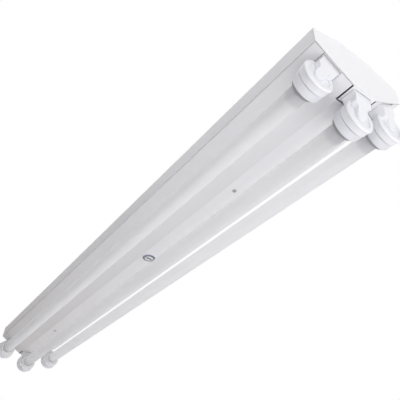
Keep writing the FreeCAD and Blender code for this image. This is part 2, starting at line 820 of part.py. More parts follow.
def make_lampholder(side, end):
    """Moulded housing: round body, threaded spigot with a side entry, neck and foot."""
    name = f"{side}_{end}"
    body = new_body(f"lampholder_{name}")
    recess = housing_back + dim("recess_depth")
    half_foot = dim("foot_width") / 2
    half_neck = dim("neck_width") / 2
    half_tongue = dim("tongue_width") / 2
    foot_low = seat_height - dim("foot_plate")
    flare_low = foot_low - dim("foot_flare")
    neck_low = rotor_bore + dim("rotor_edge")
    tongue_low = -dim("tongue_drop")
    neck = new_sketch(body, f"holder_neck_{name}", "YZ_Plane", foot_back)
    right = [
        (half_foot, seat_height),
        (half_foot, foot_low),
        (half_neck, flare_low),
        (half_neck, neck_low),
    ]
    draw_loop(neck, right + [(-y, z) for y, z in reversed(right)])
    foot = pad(body, f"holder_foot_{name}", neck, dim("foot_length"))
    doc.recompute()
    creases = []
    for way in (-1, 1):
        creases += along_x_edges(foot, way * half_neck, flare_low)
    round_edges(body, f"holder_flare_{name}", foot, creases, dim("foot_flare_radius"))
    tongue = new_sketch(body, f"holder_tongue_{name}", "YZ_Plane", foot_back)
    right = [
        (half_neck, seat_height - dim("slope_heel")),
        (half_neck, neck_low),
        (half_tongue, neck_low - dim("tongue_shoulder")),
        (half_tongue, tongue_low),
    ]
    draw_loop(tongue, right + [(-y, z) for y, z in reversed(right)])
    tongue_length = (recess + chamber_back) / 2 - foot_back
    pad(body, f"holder_tongue_{name}", tongue, tongue_length)
    add_cylinder(body, f"holder_tongue_tip_{name}", half_tongue, tongue_length,
                 vector(foot_back, 0, tongue_low), Vector(1, 0, 0))
    slope = new_sketch(body, f"holder_slope_{name}", "XZ_Plane")
    draw_loop(slope, [
        (foot_back - dim("cut_overrun"), seat_height - dim("slope_heel")),
        (foot_back, seat_height - dim("slope_heel")),
        (housing_back, -dim("slope_drop")),
        (foot_back - dim("cut_overrun"), -dim("slope_drop")),
    ])
    pocket(body, f"holder_rear_slope_{name}", slope, dim("foot_width") + 2 * dim("cut_overrun"))
    rim_inside = disc_radius - dim("rim_width")
    revolve(body, f"holder_round_{name}", [
        (recess, 0),
        (recess, rim_inside - dim("recess_draft")),
        (housing_back, rim_inside),
        (housing_back, disc_radius - dim("rim_bevel")),
        (housing_back + dim("rim_bevel"), disc_radius),
        (housing_back + dim("rim_band"), disc_radius),
        (housing_back + dim("rim_band"), collar_radius),
        (housing_front, collar_radius),
        (housing_front, spigot_radius),
        (dim("spigot_length"), spigot_radius),
        (dim("spigot_length"), pocket_radius),
        (housing_front, pocket_radius),
        (housing_front, rotor_bore),
        (chamber_back, rotor_bore),
        (chamber_back, 0),
    ])
    way = entry_way(side, end)
    past_disc = disc_radius + dim("cut_overrun")
    entry_low, entry_high = ordered(0, way * past_disc)
    pin_way = dim("pin_radius") + dim("pin_play")
    pin_depth = -dim("pin_length") - dim("pin_play")
    subtract_box(
        body, f"pin_entry_{name}",
        (pin_depth, entry_low, -pin_way),
        (dim("spigot_length"), entry_high, pin_way),
    )
    lamp_way = dim("tube_radius") + dim("entry_gap")
    subtract_box(
        body, f"lamp_entry_{name}",
        (housing_front, entry_low, -lamp_way),
        (dim("spigot_length") + dim("cut_overrun"), entry_high, lamp_way),
    )
    slit = dim("contact_slit_gap")
    for word, low, high in contact_boxes(way):
        subtract_box(
            body, f"contact_slit_{word}_{name}",
            tuple(corner - slit for corner in low),
            tuple(corner + slit for corner in high),
        )
    down = Vector(0, 0, -1)
    subtract_cylinder(
        body, f"wire_hole_{name}", dim("wire_radius") + dim("wire_hole_gap"),
        dim("wire_hole_depth"), vector(-dim("wire_hole_inset"), 0, seat_height), down,
    )
    subtract_cylinder(
        body, f"fixing_hole_{name}", dim("holder_screw_radius") + dim("screw_hole_gap"),
        dim("holder_screw_length"), vector(-dim("holder_screw_inset"), 0, seat_height), down,
    )
    body.Placement = holder_placement(side, end)
    return keep(body)


def contact_boxes(way):
    """The leaf and the tail of the high and the low spring contact of a lampholder."""
    front = -dim("contact_setback")
    back = front - dim("contact_width")
    inner = dim("pin_spacing") / 2 + dim("pin_radius") + dim("pin_play")
    outer = inner + dim("contact_thickness")
    reach = dim("contact_reach")
    boxes = []
    for word, lift, stem in (("high", 1, reach), ("low", -1, dim("contact_side"))):
        leaf_z = ordered(lift * inner, lift * outer)
        leaf_y = ordered(way * reach, -way * (stem + dim("contact_thickness")))
        stem_y = ordered(-way * stem, -way * (stem + dim("contact_thickness")))
        boxes.append((f"{word}_leaf", (back, leaf_y[0], leaf_z[0]), (front, leaf_y[1], leaf_z[1])))
        boxes.append((f"{word}_tail", (back, stem_y[0], leaf_z[0]),
                      (front, stem_y[1], dim("contact_rise"))))
    return boxes


def make_contacts(end):
    """Two spring strips in each lampholder, which the lamp's pins turn against."""
    strips = []
    for side in SIDES:
        boxes = contact_boxes(entry_way(side, end))
        for leaf, tail in (boxes[:2], boxes[2:]):
            number = len(strips) + 1
            halves = [block(f"contact_{word}_{end}_{number}", low, high)
                      for word, low, high in (leaf, tail)]
            strip = fuse(f"contact_{end}_{number}", halves)
            strip.Placement = holder_placement(side, end)
            strips.append(strip)
    return keep(group(f"holder_contacts_{end}", strips))


def make_rotor(side, end):
    """Rotor that the lamp's pins slide into and turn with."""
    name = f"{side}_{end}"
    body = new_body(f"rotor_{name}")
    front = housing_front - dim("rotor_recess")
    back = front - dim("rotor_length")
    revolve(body, f"rotor_disc_{name}", [
        (back, 0),
        (back, rotor_radius),
        (front, rotor_radius),
        (front, 0),
    ])
    half_slot = dim("pin_radius") + dim("pin_play")
    subtract_box(
        body, f"rotor_slot_{name}",
        (back - dim("cut_overrun"), -half_slot, -rotor_radius - dim("cut_overrun")),
        (front + dim("cut_overrun"), half_slot, dim("pin_spacing") / 2 + half_slot),
    )
    body.Placement = holder_placement(side, end)
    return keep(body)


def seal_faces():
    """Back and front of the seal's flange along the lamp."""
    back = dim("spigot_length") + dim("seal_play")
    return back, back + dim("seal_flange")


def make_seal(side, end):
    """Rubber seal: a flange squeezed by the ring, and a tapered collar outside its mouth."""
    name = f"{side}_{end}"
    body = new_body(f"seal_{name}")
    back, front = seal_faces()
    bore = dim("tube_radius") + dim("seal_gap")
    rim = ring_bore - dim("seal_rim_gap")
    neck = bore + dim("seal_neck_wall")
    collar = front + dim("seal_play") + dim("ring_front_wall") + dim("seal_collar_gap")
    tip = collar + dim("seal_collar_reach")
    revolve(body, f"seal_moulded_{name}", [
        (back, bore),
        (back, rim),
        (front, rim),
        (front, neck),
        (collar, neck),
        (collar, dim("seal_collar_radius")),
        (tip, bore + dim("seal_tip_wall")),
        (tip, bore),
    ])
    body.Placement = holder_placement(side, end)
    return keep(body)


def make_ring_nut(side, end):
    """Screw ring with a bevelled heel and a rounded nose."""
    name = f"{side}_{end}"
    body = new_body(f"ring_nut_{name}")
    inner_face = seal_faces()[1] + dim("seal_play")
    nose = inner_face + dim("ring_front_wall")
    neck = dim("tube_radius") + dim("seal_gap") + dim("seal_neck_wall")
    mouth = neck + dim("ring_mouth_gap")
    ring = revolve(body, f"ring_nut_turned_{name}", [
        (dim("ring_start"), ring_bore),
        (dim("ring_start"), ring_radius - dim("ring_heel_bevel")),
        (dim("ring_start") + dim("ring_heel_bevel"), ring_radius),
        (nose, ring_radius),
        (nose, mouth),
        (inner_face, mouth),
        (inner_face, ring_bore),
    ])
    doc.recompute()
    edges = []
    near = dim("edge_nearness").value
    for number, edge in enumerate(ring.Shape.Edges, start=1):
        box = edge.BoundBox
        at_nose = abs(box.XMin - nose.value) < near and abs(box.XMax - nose.value) < near
        if at_nose and abs(box.YMax - ring_radius.value) < near:
            edges.append(f"Edge{number}")
    round_edges(body, f"ring_nut_nose_{name}", ring, edges, dim("ring_nose_radius"))
    body.Placement = holder_placement(side, end)
    return keep(body)


def make_tube(side):
    """Glass tube, drawn in a little where the caps go over it."""
    body = new_body(f"lamp_tube_{side}")
    end = half_lamp - dim("cap_base") - dim("glass_cap_gap")
    shoulder = half_lamp - dim("cap_length") - dim("glass_cap_gap")
    inner_end = shoulder - dim("glass_wall")
    neck = dim("tube_radius") - dim("glass_neck_step")
    neck_bore = neck - dim("glass_wall")
    bore = dim("tube_radius") - dim("glass_wall")
    revolve(body, f"tube_glass_{side}", [
        (-end, neck_bore),
        (-end, neck),
        (-shoulder, neck),
        (-shoulder, dim("tube_radius")),
        (shoulder, dim("tube_radius")),
        (shoulder, neck),
        (end, neck),
        (end, neck_bore),
        (inner_end, neck_bore),
        (inner_end, bore),
        (-inner_end, bore),
        (-inner_end, neck_bore),
    ])
    body.Placement = FreeCAD.Placement(lamp_axis(side), Rotation())
    return keep(body)


def make_cap(side, end):
    """Lamp cap with its two pins."""
    name = f"{side}_{end}"
    body = new_body(f"lamp_cap_{name}")
    revolve(body, f"cap_shell_{name}", [
        (0, 0),
        (0, dim("tube_radius")),
        (dim("cap_length"), dim("tube_radius")),
        (dim("cap_length"), dim("tube_radius") - dim("cap_wall")),
        (dim("cap_base"), dim("tube_radius") - dim("cap_wall")),
        (dim("cap_base"), 0),
    ])
    pins = new_sketch(body, f"cap_pin_places_{name}", "YZ_Plane")
    for way in (-1, 1):
        draw_circle(pins, (as_size(0), way * dim("pin_spacing") / 2), dim("pin_radius"))
    pad(body, f"cap_pins_{name}", pins, dim("pin_length"), reversed_way=True)
    body.Placement = holder_placement(side, end)
    return keep(body)


def hat_section(body, name, top_depth, length, middle_x):
    """A folded hat-shaped bridge that stands on the tray over the ballasts."""
    wall = dim("bridge_sheet")
    floor = dim("tray_sheet")
    half = dim("bridge_width") / 2
    toe = half + dim("bridge_foot")
    right = [
        (half, -top_depth),
        (half, -floor - wall),
        (toe, -floor - wall),
        (toe, -floor),
        (half - wall, -floor),
        (half - wall, wall - top_depth),
    ]
    left = [(-y, z) for y, z in reversed(right)]
    section = new_sketch(body, f"{name}_section", "YZ_Plane", middle_x)
    draw_loop(section, right + left)
    return pad(body, f"{name}_folded_sheet", section, length, symmetric=True)


def make_cover_bridge(end):
    """Bridge that takes one cover screw through the ridge."""
    body = new_body(f"cover_bridge_{end}")
    middle = dim("cover_screw_offset") if end == "a" else -dim("cover_screw_offset")
    top = dim("ridge_depth") - dim("cover_sheet")
    hat_section(body, f"cover_bridge_{end}", top, dim("bridge_length"), middle)
    hole = dim("cover_screw_radius") + dim("screw_hole_gap")
    subtract_cylinder(
        body, f"cover_bridge_hole_{end}", hole,
        dim("bridge_sheet") + 2 * dim("cut_overrun"),
        vector(middle, -dim("fixing_line"), -top - dim("cut_overrun")), Vector(0, 0, 1),
    )
    return keep(body)


def fastener_levels():
    """Depths of the retainer's far face, and of the bridge's outer and inner faces."""
    ridge_inside = dim("ridge_depth") - dim("cover_sheet")
    retainer_end = ridge_inside - dim("retainer_gap") - dim("retainer_thickness")
    bridge_top = retainer_end - dim("retainer_gap")
    return retainer_end, bridge_top, bridge_top - dim("bridge_sheet")


def make_fastener_bridge():
    """Bridge with the keyed hole that the cross pin of the fastener locks behind."""
    body = new_body("fastener_bridge")
    bridge_top = fastener_levels()[1]
    middle = dim("fastener_offset")
    hat_section(body, "fastener_bridge", bridge_top, dim("bridge_length"), middle)
    radius = dim("stud_neck_radius") + dim("stud_hole_gap")
    reach = dim("bridge_sheet") + 2 * dim("cut_overrun")
    bottom = -bridge_top - dim("cut_overrun")
    subtract_cylinder(body, "fastener_key_hole", radius, reach,
                      vector(middle, -dim("fixing_line"), bottom), Vector(0, 0, 1))
    half_key = dim("cross_pin_radius") + dim("stud_hole_gap")
    half_length = dim("cross_pin_length") / 2 + dim("stud_hole_gap")
    subtract_box(
        body, "fastener_key_slot",
        (middle - half_length, -dim("fixing_line") - half_key, bottom),
        (middle + half_length, half_key - dim("fixing_line"), bottom + reach),
    )
    return keep(body)


def make_fastener_ferrule():
    """Bevelled ferrule round the fastener, with a sleeve through the ridge."""
    body = new_body("fastener_ferrule")
    ridge = -dim("ridge_depth")
    face = ridge - dim("ferrule_height")
    sleeve_end = dim("cover_sheet") + ridge
    revolve_upright(body, "ferrule_turned", [
        (dim("ferrule_bore"), face),
        (dim("ferrule_radius") - dim("ferrule_bevel"), face),
        (dim("ferrule_radius"), face + dim("ferrule_bevel")),
        (dim("ferrule_radius"), ridge),
        (dim("ferrule_sleeve"), ridge),
        (dim("ferrule_sleeve"), sleeve_end),
        (dim("ferrule_bore"), sleeve_end),
    ])
    body.Placement = FreeCAD.Placement(
        vector(dim("fastener_offset"), -dim("fixing_line"), 0), Rotation())
    return keep(body)


def make_fastener_retainer():
    """Retaining washer that keeps the fastener on the cover when it is undone."""
    body = new_body("fastener_retainer")
    retainer_end = fastener_levels()[0]
    start = retainer_end + dim("retainer_thickness")
    bore = dim("stud_neck_radius") + dim("stud_hole_gap")
    revolve_upright(body, "retainer_turned", [
        (bore, -start),
        (dim("retainer_radius"), -start),
        (dim("retainer_radius"), -retainer_end),
        (bore, -retainer_end),
    ])
    body.Placement = FreeCAD.Placement(
        vector(dim("fastener_offset"), -dim("fixing_line"), 0), Rotation())
    return keep(body)


def make_fastener_stud():
    """Quarter-turn stud: coin-slotted head, neck and cross pin."""
    body = new_body("fastener_stud")
    bridge_inside = fastener_levels()[2]
    head_base = dim("cover_sheet") - dim("ridge_depth") - dim("retainer_gap")
    head_face = -dim("ridge_depth") - dim("stud_head_height")
    pin_level = -bridge_inside + dim("cross_pin_radius") + dim("cross_pin_gap")
    neck_end = pin_level + dim("cross_pin_radius") + dim("cross_pin_gap")
    revolve_upright(body, "stud_turned", [
        (0, head_face),
        (dim("stud_head_radius"), head_face),
        (dim("stud_head_radius"), head_base),
        (dim("stud_neck_radius"), head_base),
        (dim("stud_neck_radius"), neck_end),
        (0, neck_end),
    ])
    pin = new_sketch(body, "stud_cross_pin_place", "XZ_Plane")
    draw_circle(pin, (0, pin_level), dim("cross_pin_radius"))
    pad(body, "stud_cross_pin", pin, dim("cross_pin_length"), symmetric=True)
    half_slot = dim("coin_slot_width") / 2
    half_length = dim("coin_slot_length") / 2
    subtract_box(
        body, "stud_coin_slot",
        (-half_slot, -half_length, head_face - dim("cut_overrun")),
        (half_slot, half_length, head_face + dim("coin_slot_depth")),
    )
    body.Placement = FreeCAD.Placement(
        vector(dim("fastener_offset"), -dim("fixing_line"), 0), Rotation())
    return keep(body)


def screw(name, head_radius, head_height, shank_radius, shank_length):
    """A pan-head screw along Z: head below the origin, shank above it."""
    head = place(cylinder(f"{name}_head", head_radius, head_height), 0, 0, -head_height)
    shank = cylinder(f"{name}_shank", shank_radius, shank_length)
    return fuse(name, [head, shank])


def make_cover_screws():
    """The two small screws in the ridge."""
    screws = []
    for number, way in enumerate((-1, 1), start=1):
        piece = screw(
            f"cover_screw_{number}", dim("cover_screw_head_radius"),
            dim("cover_screw_head_height"), dim("cover_screw_radius"), dim("cover_screw_length"),
        )
        place(piece, way * dim("cover_screw_offset"), -dim("fixing_line"), -dim("ridge_depth"))
        screws.append(piece)
    return keep(group("cover_screws", screws))


def make_holder_screws():
    """One screw from inside each bracket seat into the foot of each lampholder."""
    screws = []
    shank = dim("bracket_sheet") + dim("holder_screw_length") - dim("screw_tip_gap")
    for end in ENDS:
        for side in SIDES:
            piece = screw(
                f"holder_screw_{side}_{end}", dim("holder_screw_head_radius"),
                dim("holder_screw_head_height"), dim("holder_screw_radius"), shank,
            )
            base = vector(-dim("holder_screw_inset"), 0, seat_height + dim("bracket_sheet"))
            flip = Rotation(Vector(1, 0, 0), 180)
            local = FreeCAD.Placement(base, flip)
            piece.Placement = holder_placement(side, end).multiply(local)
            screws.append(piece)
    return keep(group("lampholder_screws", screws))


def make_ballast(label, middle, length):
    """Ballast case: stepped down at each end for its terminals, with a lug at each end."""
    body = new_body(f"{label}_ballast_case")
    floor = -dim("tray_sheet")
    lug_low = floor - dim("ballast_lug_thickness")
    step_low = floor - dim("ballast_step_height")
    low = floor - dim("ballast_height")
    half = length / 2
    tip = half + dim("ballast_lug")
    step = half - dim("ballast_step")
    side_view = new_sketch(body, f"{label}_side_view", "XZ_Plane")
    right = [
        (tip, floor),
        (tip, lug_low),
        (half, lug_low),
        (half, step_low),
        (step, step_low),
        (step, low),
    ]
    left = [(-x, z) for x, z in reversed(right)]
    draw_loop(side_view, [(middle + x, z) for x, z in right + left])
    pad(body, f"{label}_case", side_view, dim("ballast_width"), symmetric=True)
    holes = new_sketch(body, f"{label}_lug_holes", "XY_Plane", floor)
    reach = half + dim("ballast_lug") / 2
    for way in (-1, 1):
        draw_circle(holes, (middle + way * reach, as_size(0)),
                    dim("weld_stud_radius") + dim("weld_stud_gap"))
    pocket(body, f"{label}_lug_drilling", holes,
           2 * dim("ballast_lug_thickness") + dim("cut_overrun"))
    return keep(body)


def terminal_strip(name, low, high, count, pitch, facing):
    """A terminal block with a row of round wire entries in the face that looks along X."""
    base = block(name + "_block", low, high)
    drills = []
    middle_y = (as_size(low[1]) + as_size(high[1])) / 2
    middle_z = (as_size(low[2]) + as_size(high[2])) / 2
    face = as_size(high[0]) if facing > 0 else as_size(low[0])
    for number in range(count):
        y = middle_y + (number - (count - 1) / 2) * pitch
        drill = cylinder(f"{name}_entry_{number}", dim("terminal_hole_radius"),
                         dim("terminal_hole_depth"))
        place(drill, face, y, middle_z, Rotation(Vector(0, 0, 1), Vector(-facing, 0, 0)))
        drills.append(drill)
    return cut(name, base, fuse(name + "_entries", drills))


def make_ballast_terminals():
    """Push-in terminal strips on the two ends of both ballasts."""
    strips = []
    top = -dim("tray_sheet") - dim("ballast_step_height")
    half = dim("ballast_width") / 2 - dim("terminal_side_gap")
    for label, (middle, length) in ballast_ends().items():
        for way, word in ((-1, "b"), (1, "a")):
            outer = middle + way * length / 2
            inner = outer - way * dim("terminal_length")
            low, high = sorted((outer, inner), key=lambda size: size.value)
            strips.append(terminal_strip(
                f"{label}_terminals_{word}",
                (low, -half, top - dim("terminal_height")),
                (high, half, top),
                TERMINAL_HOLES, dim("terminal_hole_pitch"), way,
            ))
    return keep(group("ballast_terminals", strips))


def make_mains_block():
    """Mains terminal block beside the cable entry."""
    x = dim("mains_block_x")
    half_length = dim("mains_block_length") / 2
    half = dim("mains_block_width") / 2
    floor = -dim("tray_sheet")
    low = (x - half_length, dim("mains_block_y") - half, floor - dim("mains_block_height"))
    high = (x + half_length, dim("mains_block_y") + half, floor)
    base = block("mains_block_moulding", low, high)
    pitch = dim("mains_block_length") / MAINS_POLES
    drills = []
    for number in range(MAINS_POLES):
        along = x + (number - (MAINS_POLES - 1) / 2) * pitch
        entry = cylinder(f"mains_entry_{number}", dim("terminal_hole_radius"),
                         dim("terminal_hole_depth"))
        entry_level = floor - dim("mains_block_height") / 2
        place(entry, along, low[1], entry_level, Rotation(Vector(0, 0, 1), Vector(0, 1, 0)))
        well = cylinder(f"mains_screw_well_{number}", dim("terminal_hole_radius"),
                        dim("mains_block_height") / 4)
        place(well, along, dim("mains_block_y"), low[2])
        drills += [entry, well]
    block_cut = cut("mains_terminal_block", base, fuse("mains_block_drills", drills))
    block_cut.Label = "mains_terminal_block"
    return keep(block_cut)


def hex_nut(name, x, y, top):
    """A hexagonal nut round a weld stud, with its upper face at the given level."""
    prism = doc.addObject("Part::Prism", f"{name}_hexagon")
    prism.Polygon = 6
    bind(prism, "Circumradius", dim("nut_across_corners") / 2)
    bind(prism, "Height", dim("nut_height"))
    bore = cylinder(f"{name}_bore", dim("weld_stud_radius") + dim("nut_play"), dim("nut_height"))
    nut = cut(name, prism, bore)
    return place(nut, x, y, top - dim("nut_height"))


def make_nuts():
    """Nuts on the ballast studs, and the earth nut."""
    places = stud_places()
    lug_low = -dim("tray_sheet") - dim("ballast_lug_thickness")
    nuts = [hex_nut(f"ballast_nut_{number}", x, y, lug_low)
            for number, (x, y) in enumerate(places[:-1], start=1)]
    keep(group("ballast_nuts", nuts))
    earth = hex_nut("earth_nut", places[-1][0], places[-1][1], -dim("tray_sheet"))
    earth.Label = "earth_nut"
    return keep(earth)


def make_grommet():
    """Rubber grommet that lines the cable entry from inside the tray."""
    body = new_body("cable_grommet")
    sleeve = dim("entry_hole_radius") - dim("grommet_gap")
    floor = -dim("tray_sheet")
    revolve_upright(body, "grommet_moulded", [
        (dim("grommet_bore_radius"), 0),
        (sleeve, 0),
        (sleeve, floor),
        (dim("grommet_flange_radius"), floor),
        (dim("grommet_flange_radius"), floor - dim("grommet_flange_height")),
        (dim("grommet_bore_radius"), floor - dim("grommet_flange_height")),
    ])
    return keep(body)


def bent_tube(points, radius, bend):
    """A round tube along straight runs joined by tangent arcs."""
    edges = []
    start = points[0]
    for before, corner, after in zip(points, points[1:], points[2:]):
        incoming = (corner - before).normalize()
        outgoing = (after - corner).normalize()
        turn = incoming.getAngle(outgoing)
        trim = bend * math.tan(turn / 2)
        entry = corner - incoming * trim
        leave = corner + outgoing * trim
        bisector = (outgoing - incoming).normalize()
        centre = corner + bisector * (bend / math.cos(turn / 2))
        middle = centre - bisector * bend
        edges.append(Part.LineSegment(start, entry).toShape())
        edges.append(Part.Arc(entry, middle, leave).toShape())
        start = leave
    edges.append(Part.LineSegment(start, points[-1]).toShape())
    path = Part.Wire(edges)
    direction = (points[1] - points[0]).normalize()
    ring = Part.Wire([Part.Circle(points[0], direction, radius).toShape()])
    tube = path.makePipeShell([ring], True, False)
    expected = math.pi * radius ** 2 * path.Length
    if abs(tube.Volume - expected) > expected / 100:
        raise RuntimeError("a wire's volume doesn't match its length")
    return tube


def make_lamp_wires(end):
    """One sleeved wire pair from a ballast to the foot of each lampholder at this end."""
    way = 1 if end == "a" else -1
    ends = ballast_ends()
    level = -dim("tray_sheet") - dim("wire_floor_height")
    terminal_level = (-dim("tray_sheet") - dim("ballast_step_height")
                      - dim("terminal_height") / 2)
    tubes = []
    for side in SIDES:
        ballast = "single" if side == "middle" else "twin"
        middle, length = ends[ballast]
        start_x = middle + way * (length / 2 + dim("wire_end_gap"))
        lane_way = {"left": -1, "middle": way, "right": 1}[side]
        lane = dim("wire_lane") + (dim("wire_lane_step") if side == "left" else as_size(0))
        foot = holder_placement(side, end)
        tip = foot.multVec(vector(-dim("wire_hole_inset"), 0,
                                  seat_height - dim("wire_insertion")))
        above = foot.multVec(vector(-dim("wire_hole_inset"), 0,
                                    seat_height + 2 * dim("wire_bend_radius")))
        pull = 2 * dim("wire_bend_radius")
        first_turn = start_x + way * pull
        start_y = lane_way * dim("terminal_hole_pitch")
        last_turn = half_lamp + dim("wire_hole_inset") - 2 * pull
        points = [vector(start_x, start_y, terminal_level)]
        if side == "middle" and end == "a":
            points.append(vector(way * last_turn, start_y, terminal_level))
        else:
            points += [
                vector(first_turn, start_y, terminal_level),
                vector(first_turn + way * pull, lane_way * lane, terminal_level),
                vector(first_turn + 2 * way * pull, lane_way * lane, level),
                vector(way * last_turn, lane_way * lane, level),
            ]
        points += [above, tip]
        tubes.append(bent_tube(points, dim("wire_radius").value, dim("wire_bend_radius").value))
    loom = doc.addObject("Part::Feature", f"lamp_wiring_{end}")
    loom.Label = f"lamp_wiring_{end}"
    loom.Shape = Part.makeCompound(tubes)
    loom.Placement = FreeCAD.Placement()
    return keep(loom)


def make_mains_wires():
    """Sleeved wires from the mains block to the near ends of both ballasts."""
    ends = ballast_ends()
    level = -dim("tray_sheet") - dim("mains_block_height") / 2
    terminal_level = (-dim("tray_sheet") - dim("ballast_step_height")
                      - dim("terminal_height") / 2)
    block_face = dim("mains_block_y") - dim("mains_block_width") / 2 - dim("wire_end_gap")
    pitch = dim("mains_block_length") / MAINS_POLES
    pull = 2 * dim("wire_bend_radius")
    tubes = []
    for label, way in (("twin", -1), ("single", 1)):
        middle, length = ends[label]
        x = dim("mains_block_x") + way * pitch
        end_x = middle - way * (length / 2 + dim("wire_end_gap"))
        points = [
            vector(x, block_face, level),
            vector(x, block_face - pull, level),
            vector(end_x - way * pull, 0, terminal_level),
            vector(end_x, 0, terminal_level),
        ]
        tubes.append(bent_tube(points, dim("wire_radius").value, dim("wire_bend_radius").value))
    loom = doc.addObject("Part::Feature", "mains_wiring")
    loom.Label = "mains_wiring"
    loom.Shape = Part.makeCompound(tubes)
    loom.Placement = FreeCAD.Placement()
    return keep(loom)


make_gear_tray()
make_cover()
for end in ENDS:
    make_end_plate(end)
    make_bracket(end)
    make_cover_bridge(end)
    make_contacts(end)
    make_lamp_wires(end)
    for side in SIDES:
        make_lampholder(side, end)
        make_rotor(side, end)
        make_seal(side, end)
        make_ring_nut(side, end)
        make_cap(side, end)
for side in SIDES:
    make_tube(side)
make_fastener_bridge()
make_fastener_ferrule()
make_fastener_retainer()
make_fastener_stud()
make_cover_screws()
make_holder_screws()
for label, (middle, length) in ballast_ends().items():
    make_ballast(label, middle, length)
make_ballast_terminals()
make_mains_block()
make_nuts()
make_grommet()
make_mains_wires()
doc.recompute()

for feature in doc.Objects:
    if "Invalid" in feature.State or "Error" in feature.State:
        raise RuntimeError(f"{feature.Label} failed: {feature.State}")
for node in nodes:
    if node.Shape.isNull() or not node.Shape.isValid():
        raise RuntimeError(f"{node.Label} has no valid shape")

os.makedirs("parts", exist_ok=True)
for node in nodes:
    node.Shape.exportStep(f"parts/{node.Label}.step")
    print(node.Label, len(node.Shape.Solids), round(node.Shape.Volume))
print(len(nodes), "nodes")
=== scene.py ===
import math

import bmesh
import bpy
from mathutils import Matrix, Vector


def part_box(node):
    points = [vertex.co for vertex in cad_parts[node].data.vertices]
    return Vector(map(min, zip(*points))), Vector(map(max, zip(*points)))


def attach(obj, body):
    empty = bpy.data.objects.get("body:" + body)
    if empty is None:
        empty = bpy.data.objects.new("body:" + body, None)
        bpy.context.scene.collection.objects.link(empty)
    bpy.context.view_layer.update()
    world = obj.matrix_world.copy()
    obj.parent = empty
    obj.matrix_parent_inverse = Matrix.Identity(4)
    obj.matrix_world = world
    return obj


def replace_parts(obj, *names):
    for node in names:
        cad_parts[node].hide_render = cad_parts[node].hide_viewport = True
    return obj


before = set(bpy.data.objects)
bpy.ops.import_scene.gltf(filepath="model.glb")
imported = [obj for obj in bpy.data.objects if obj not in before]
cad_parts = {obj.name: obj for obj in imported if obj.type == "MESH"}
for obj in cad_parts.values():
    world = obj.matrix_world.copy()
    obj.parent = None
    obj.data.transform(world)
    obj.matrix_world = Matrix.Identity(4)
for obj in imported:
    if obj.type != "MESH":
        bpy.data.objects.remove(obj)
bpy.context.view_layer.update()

# The camera stands under the near end of the batten and looks up along it,
# from the place that the photograph was taken from. Three directions turn it.
EYE = Vector((0.815419, -0.364661, -0.537335))
TO_THE_RIGHT = Vector((0.58207, 0.812174, 0.039607))
DOWNWARDS = Vector((-0.479067, 0.381881, -0.790355))
FORWARDS = Vector((-0.657031, 0.441067, 0.611368))
FOCAL_PIXELS = 460.494
PHOTO_PIXELS = 400
camera_data = bpy.data.cameras.new("photo_camera")
camera_data.sensor_width = 36
camera_data.sensor_fit = "HORIZONTAL"
camera_data.lens = FOCAL_PIXELS / PHOTO_PIXELS * camera_data.sensor_width
camera_data.clip_start = 0.01
camera = bpy.data.objects.new("photo_camera", camera_data)
turned = Matrix((TO_THE_RIGHT, -DOWNWARDS, -FORWARDS)).transposed().to_4x4()
camera.matrix_world = Matrix.Translation(EYE) @ turned
bpy.context.collection.objects.link(camera)
bpy.context.scene.camera = camera

# Sheet body: folded steel tray, reflector cover, end plates and lampholder brackets, all in
# white baked powder paint. The paint has a fine orange-peel skin, rounded edges and slow
# changes of tone where it was sprayed thicker or thinner.
PAINT_SKIN = (1400.0, 0.00010, 5.0)
PAINT_EDGE = 0.0007
# The next three tints are painted light along the batten; the tray's is darker, painted shade.
NEAR_LIGHT_TINT = (0.985, 0.98, 1.0)
FAR_LIGHT_TINT = (1.0, 0.97, 0.955)
TRAY_FAR_SHADE_TINT = (0.74, 0.71, 0.69)
FAR_END = -0.62
DUST = (0.90, 0.89, 0.87)
NOTCH_ALONG = (0.6110, 0.0125)
NOTCH_GAPS = ((-0.0206, 0.0008), (0.0214, 0.0018))
NOTCH_LEVEL = (-0.0785, 0.0022)
NOTCH_SHADE = (0.06, 0.06, 0.07)


def add_node(tree, kind, values=None, **settings):
    """A node with its settings made and its named inputs set."""
    node = tree.nodes.new(kind)
    for name, value in settings.items():
        setattr(node, name, value)
    for name, value in (values or {}).items():
        node.inputs[name].default_value = value
    return node


def join(tree, source, output, target, socket):
    """A link from one node's output to another node's input."""
    tree.links.new(source.outputs[output], target.inputs[socket])


def combined(tree, operation, one, other):
    """The sum, product or larger of two sockets."""
    result = add_node(tree, "ShaderNodeMath", operation=operation)
    tree.links.new(one, result.inputs[0])
    tree.links.new(other, result.inputs[1])
    return result.outputs[0]


def absolute(tree, socket):
    """A socket's value without its sign."""
    size = add_node(tree, "ShaderNodeMath", operation="ABSOLUTE")
    tree.links.new(socket, size.inputs[0])
    return size.outputs[0]


def within(tree, socket, middle, reach):
    """1 where a socket's value is no further than reach from the middle, 0 elsewhere."""
    inside = add_node(tree, "ShaderNodeMath", operation="COMPARE")
    inside.inputs[1].default_value = middle
    inside.inputs[2].default_value = reach
    tree.links.new(socket, inside.inputs[0])
    return inside.outputs[0]


def object_place(tree):
    """The X, Y and Z sockets of the place on the object."""
    place = add_node(tree, "ShaderNodeTexCoord")
    split = add_node(tree, "ShaderNodeSeparateXYZ")
    join(tree, place, "Object", split, "Vector")
    return split.outputs


def recolour(made, mask, colour, blend_type="MULTIPLY"):
    """Multiply a material's colour by another, or mix the other in, where the mask is 1."""
    tree = made.node_tree
    base = tree.nodes["Principled BSDF"].inputs["Base Color"]
    mixed = add_node(tree, "ShaderNodeMix", data_type="RGBA", blend_type=blend_type)
    mixed.inputs[7].default_value = (*colour, 1)
    tree.links.new(mask, mixed.inputs[0])
    tree.links.new(base.links[0].from_socket, mixed.inputs[6])
    tree.links.new(mixed.outputs[2], base)


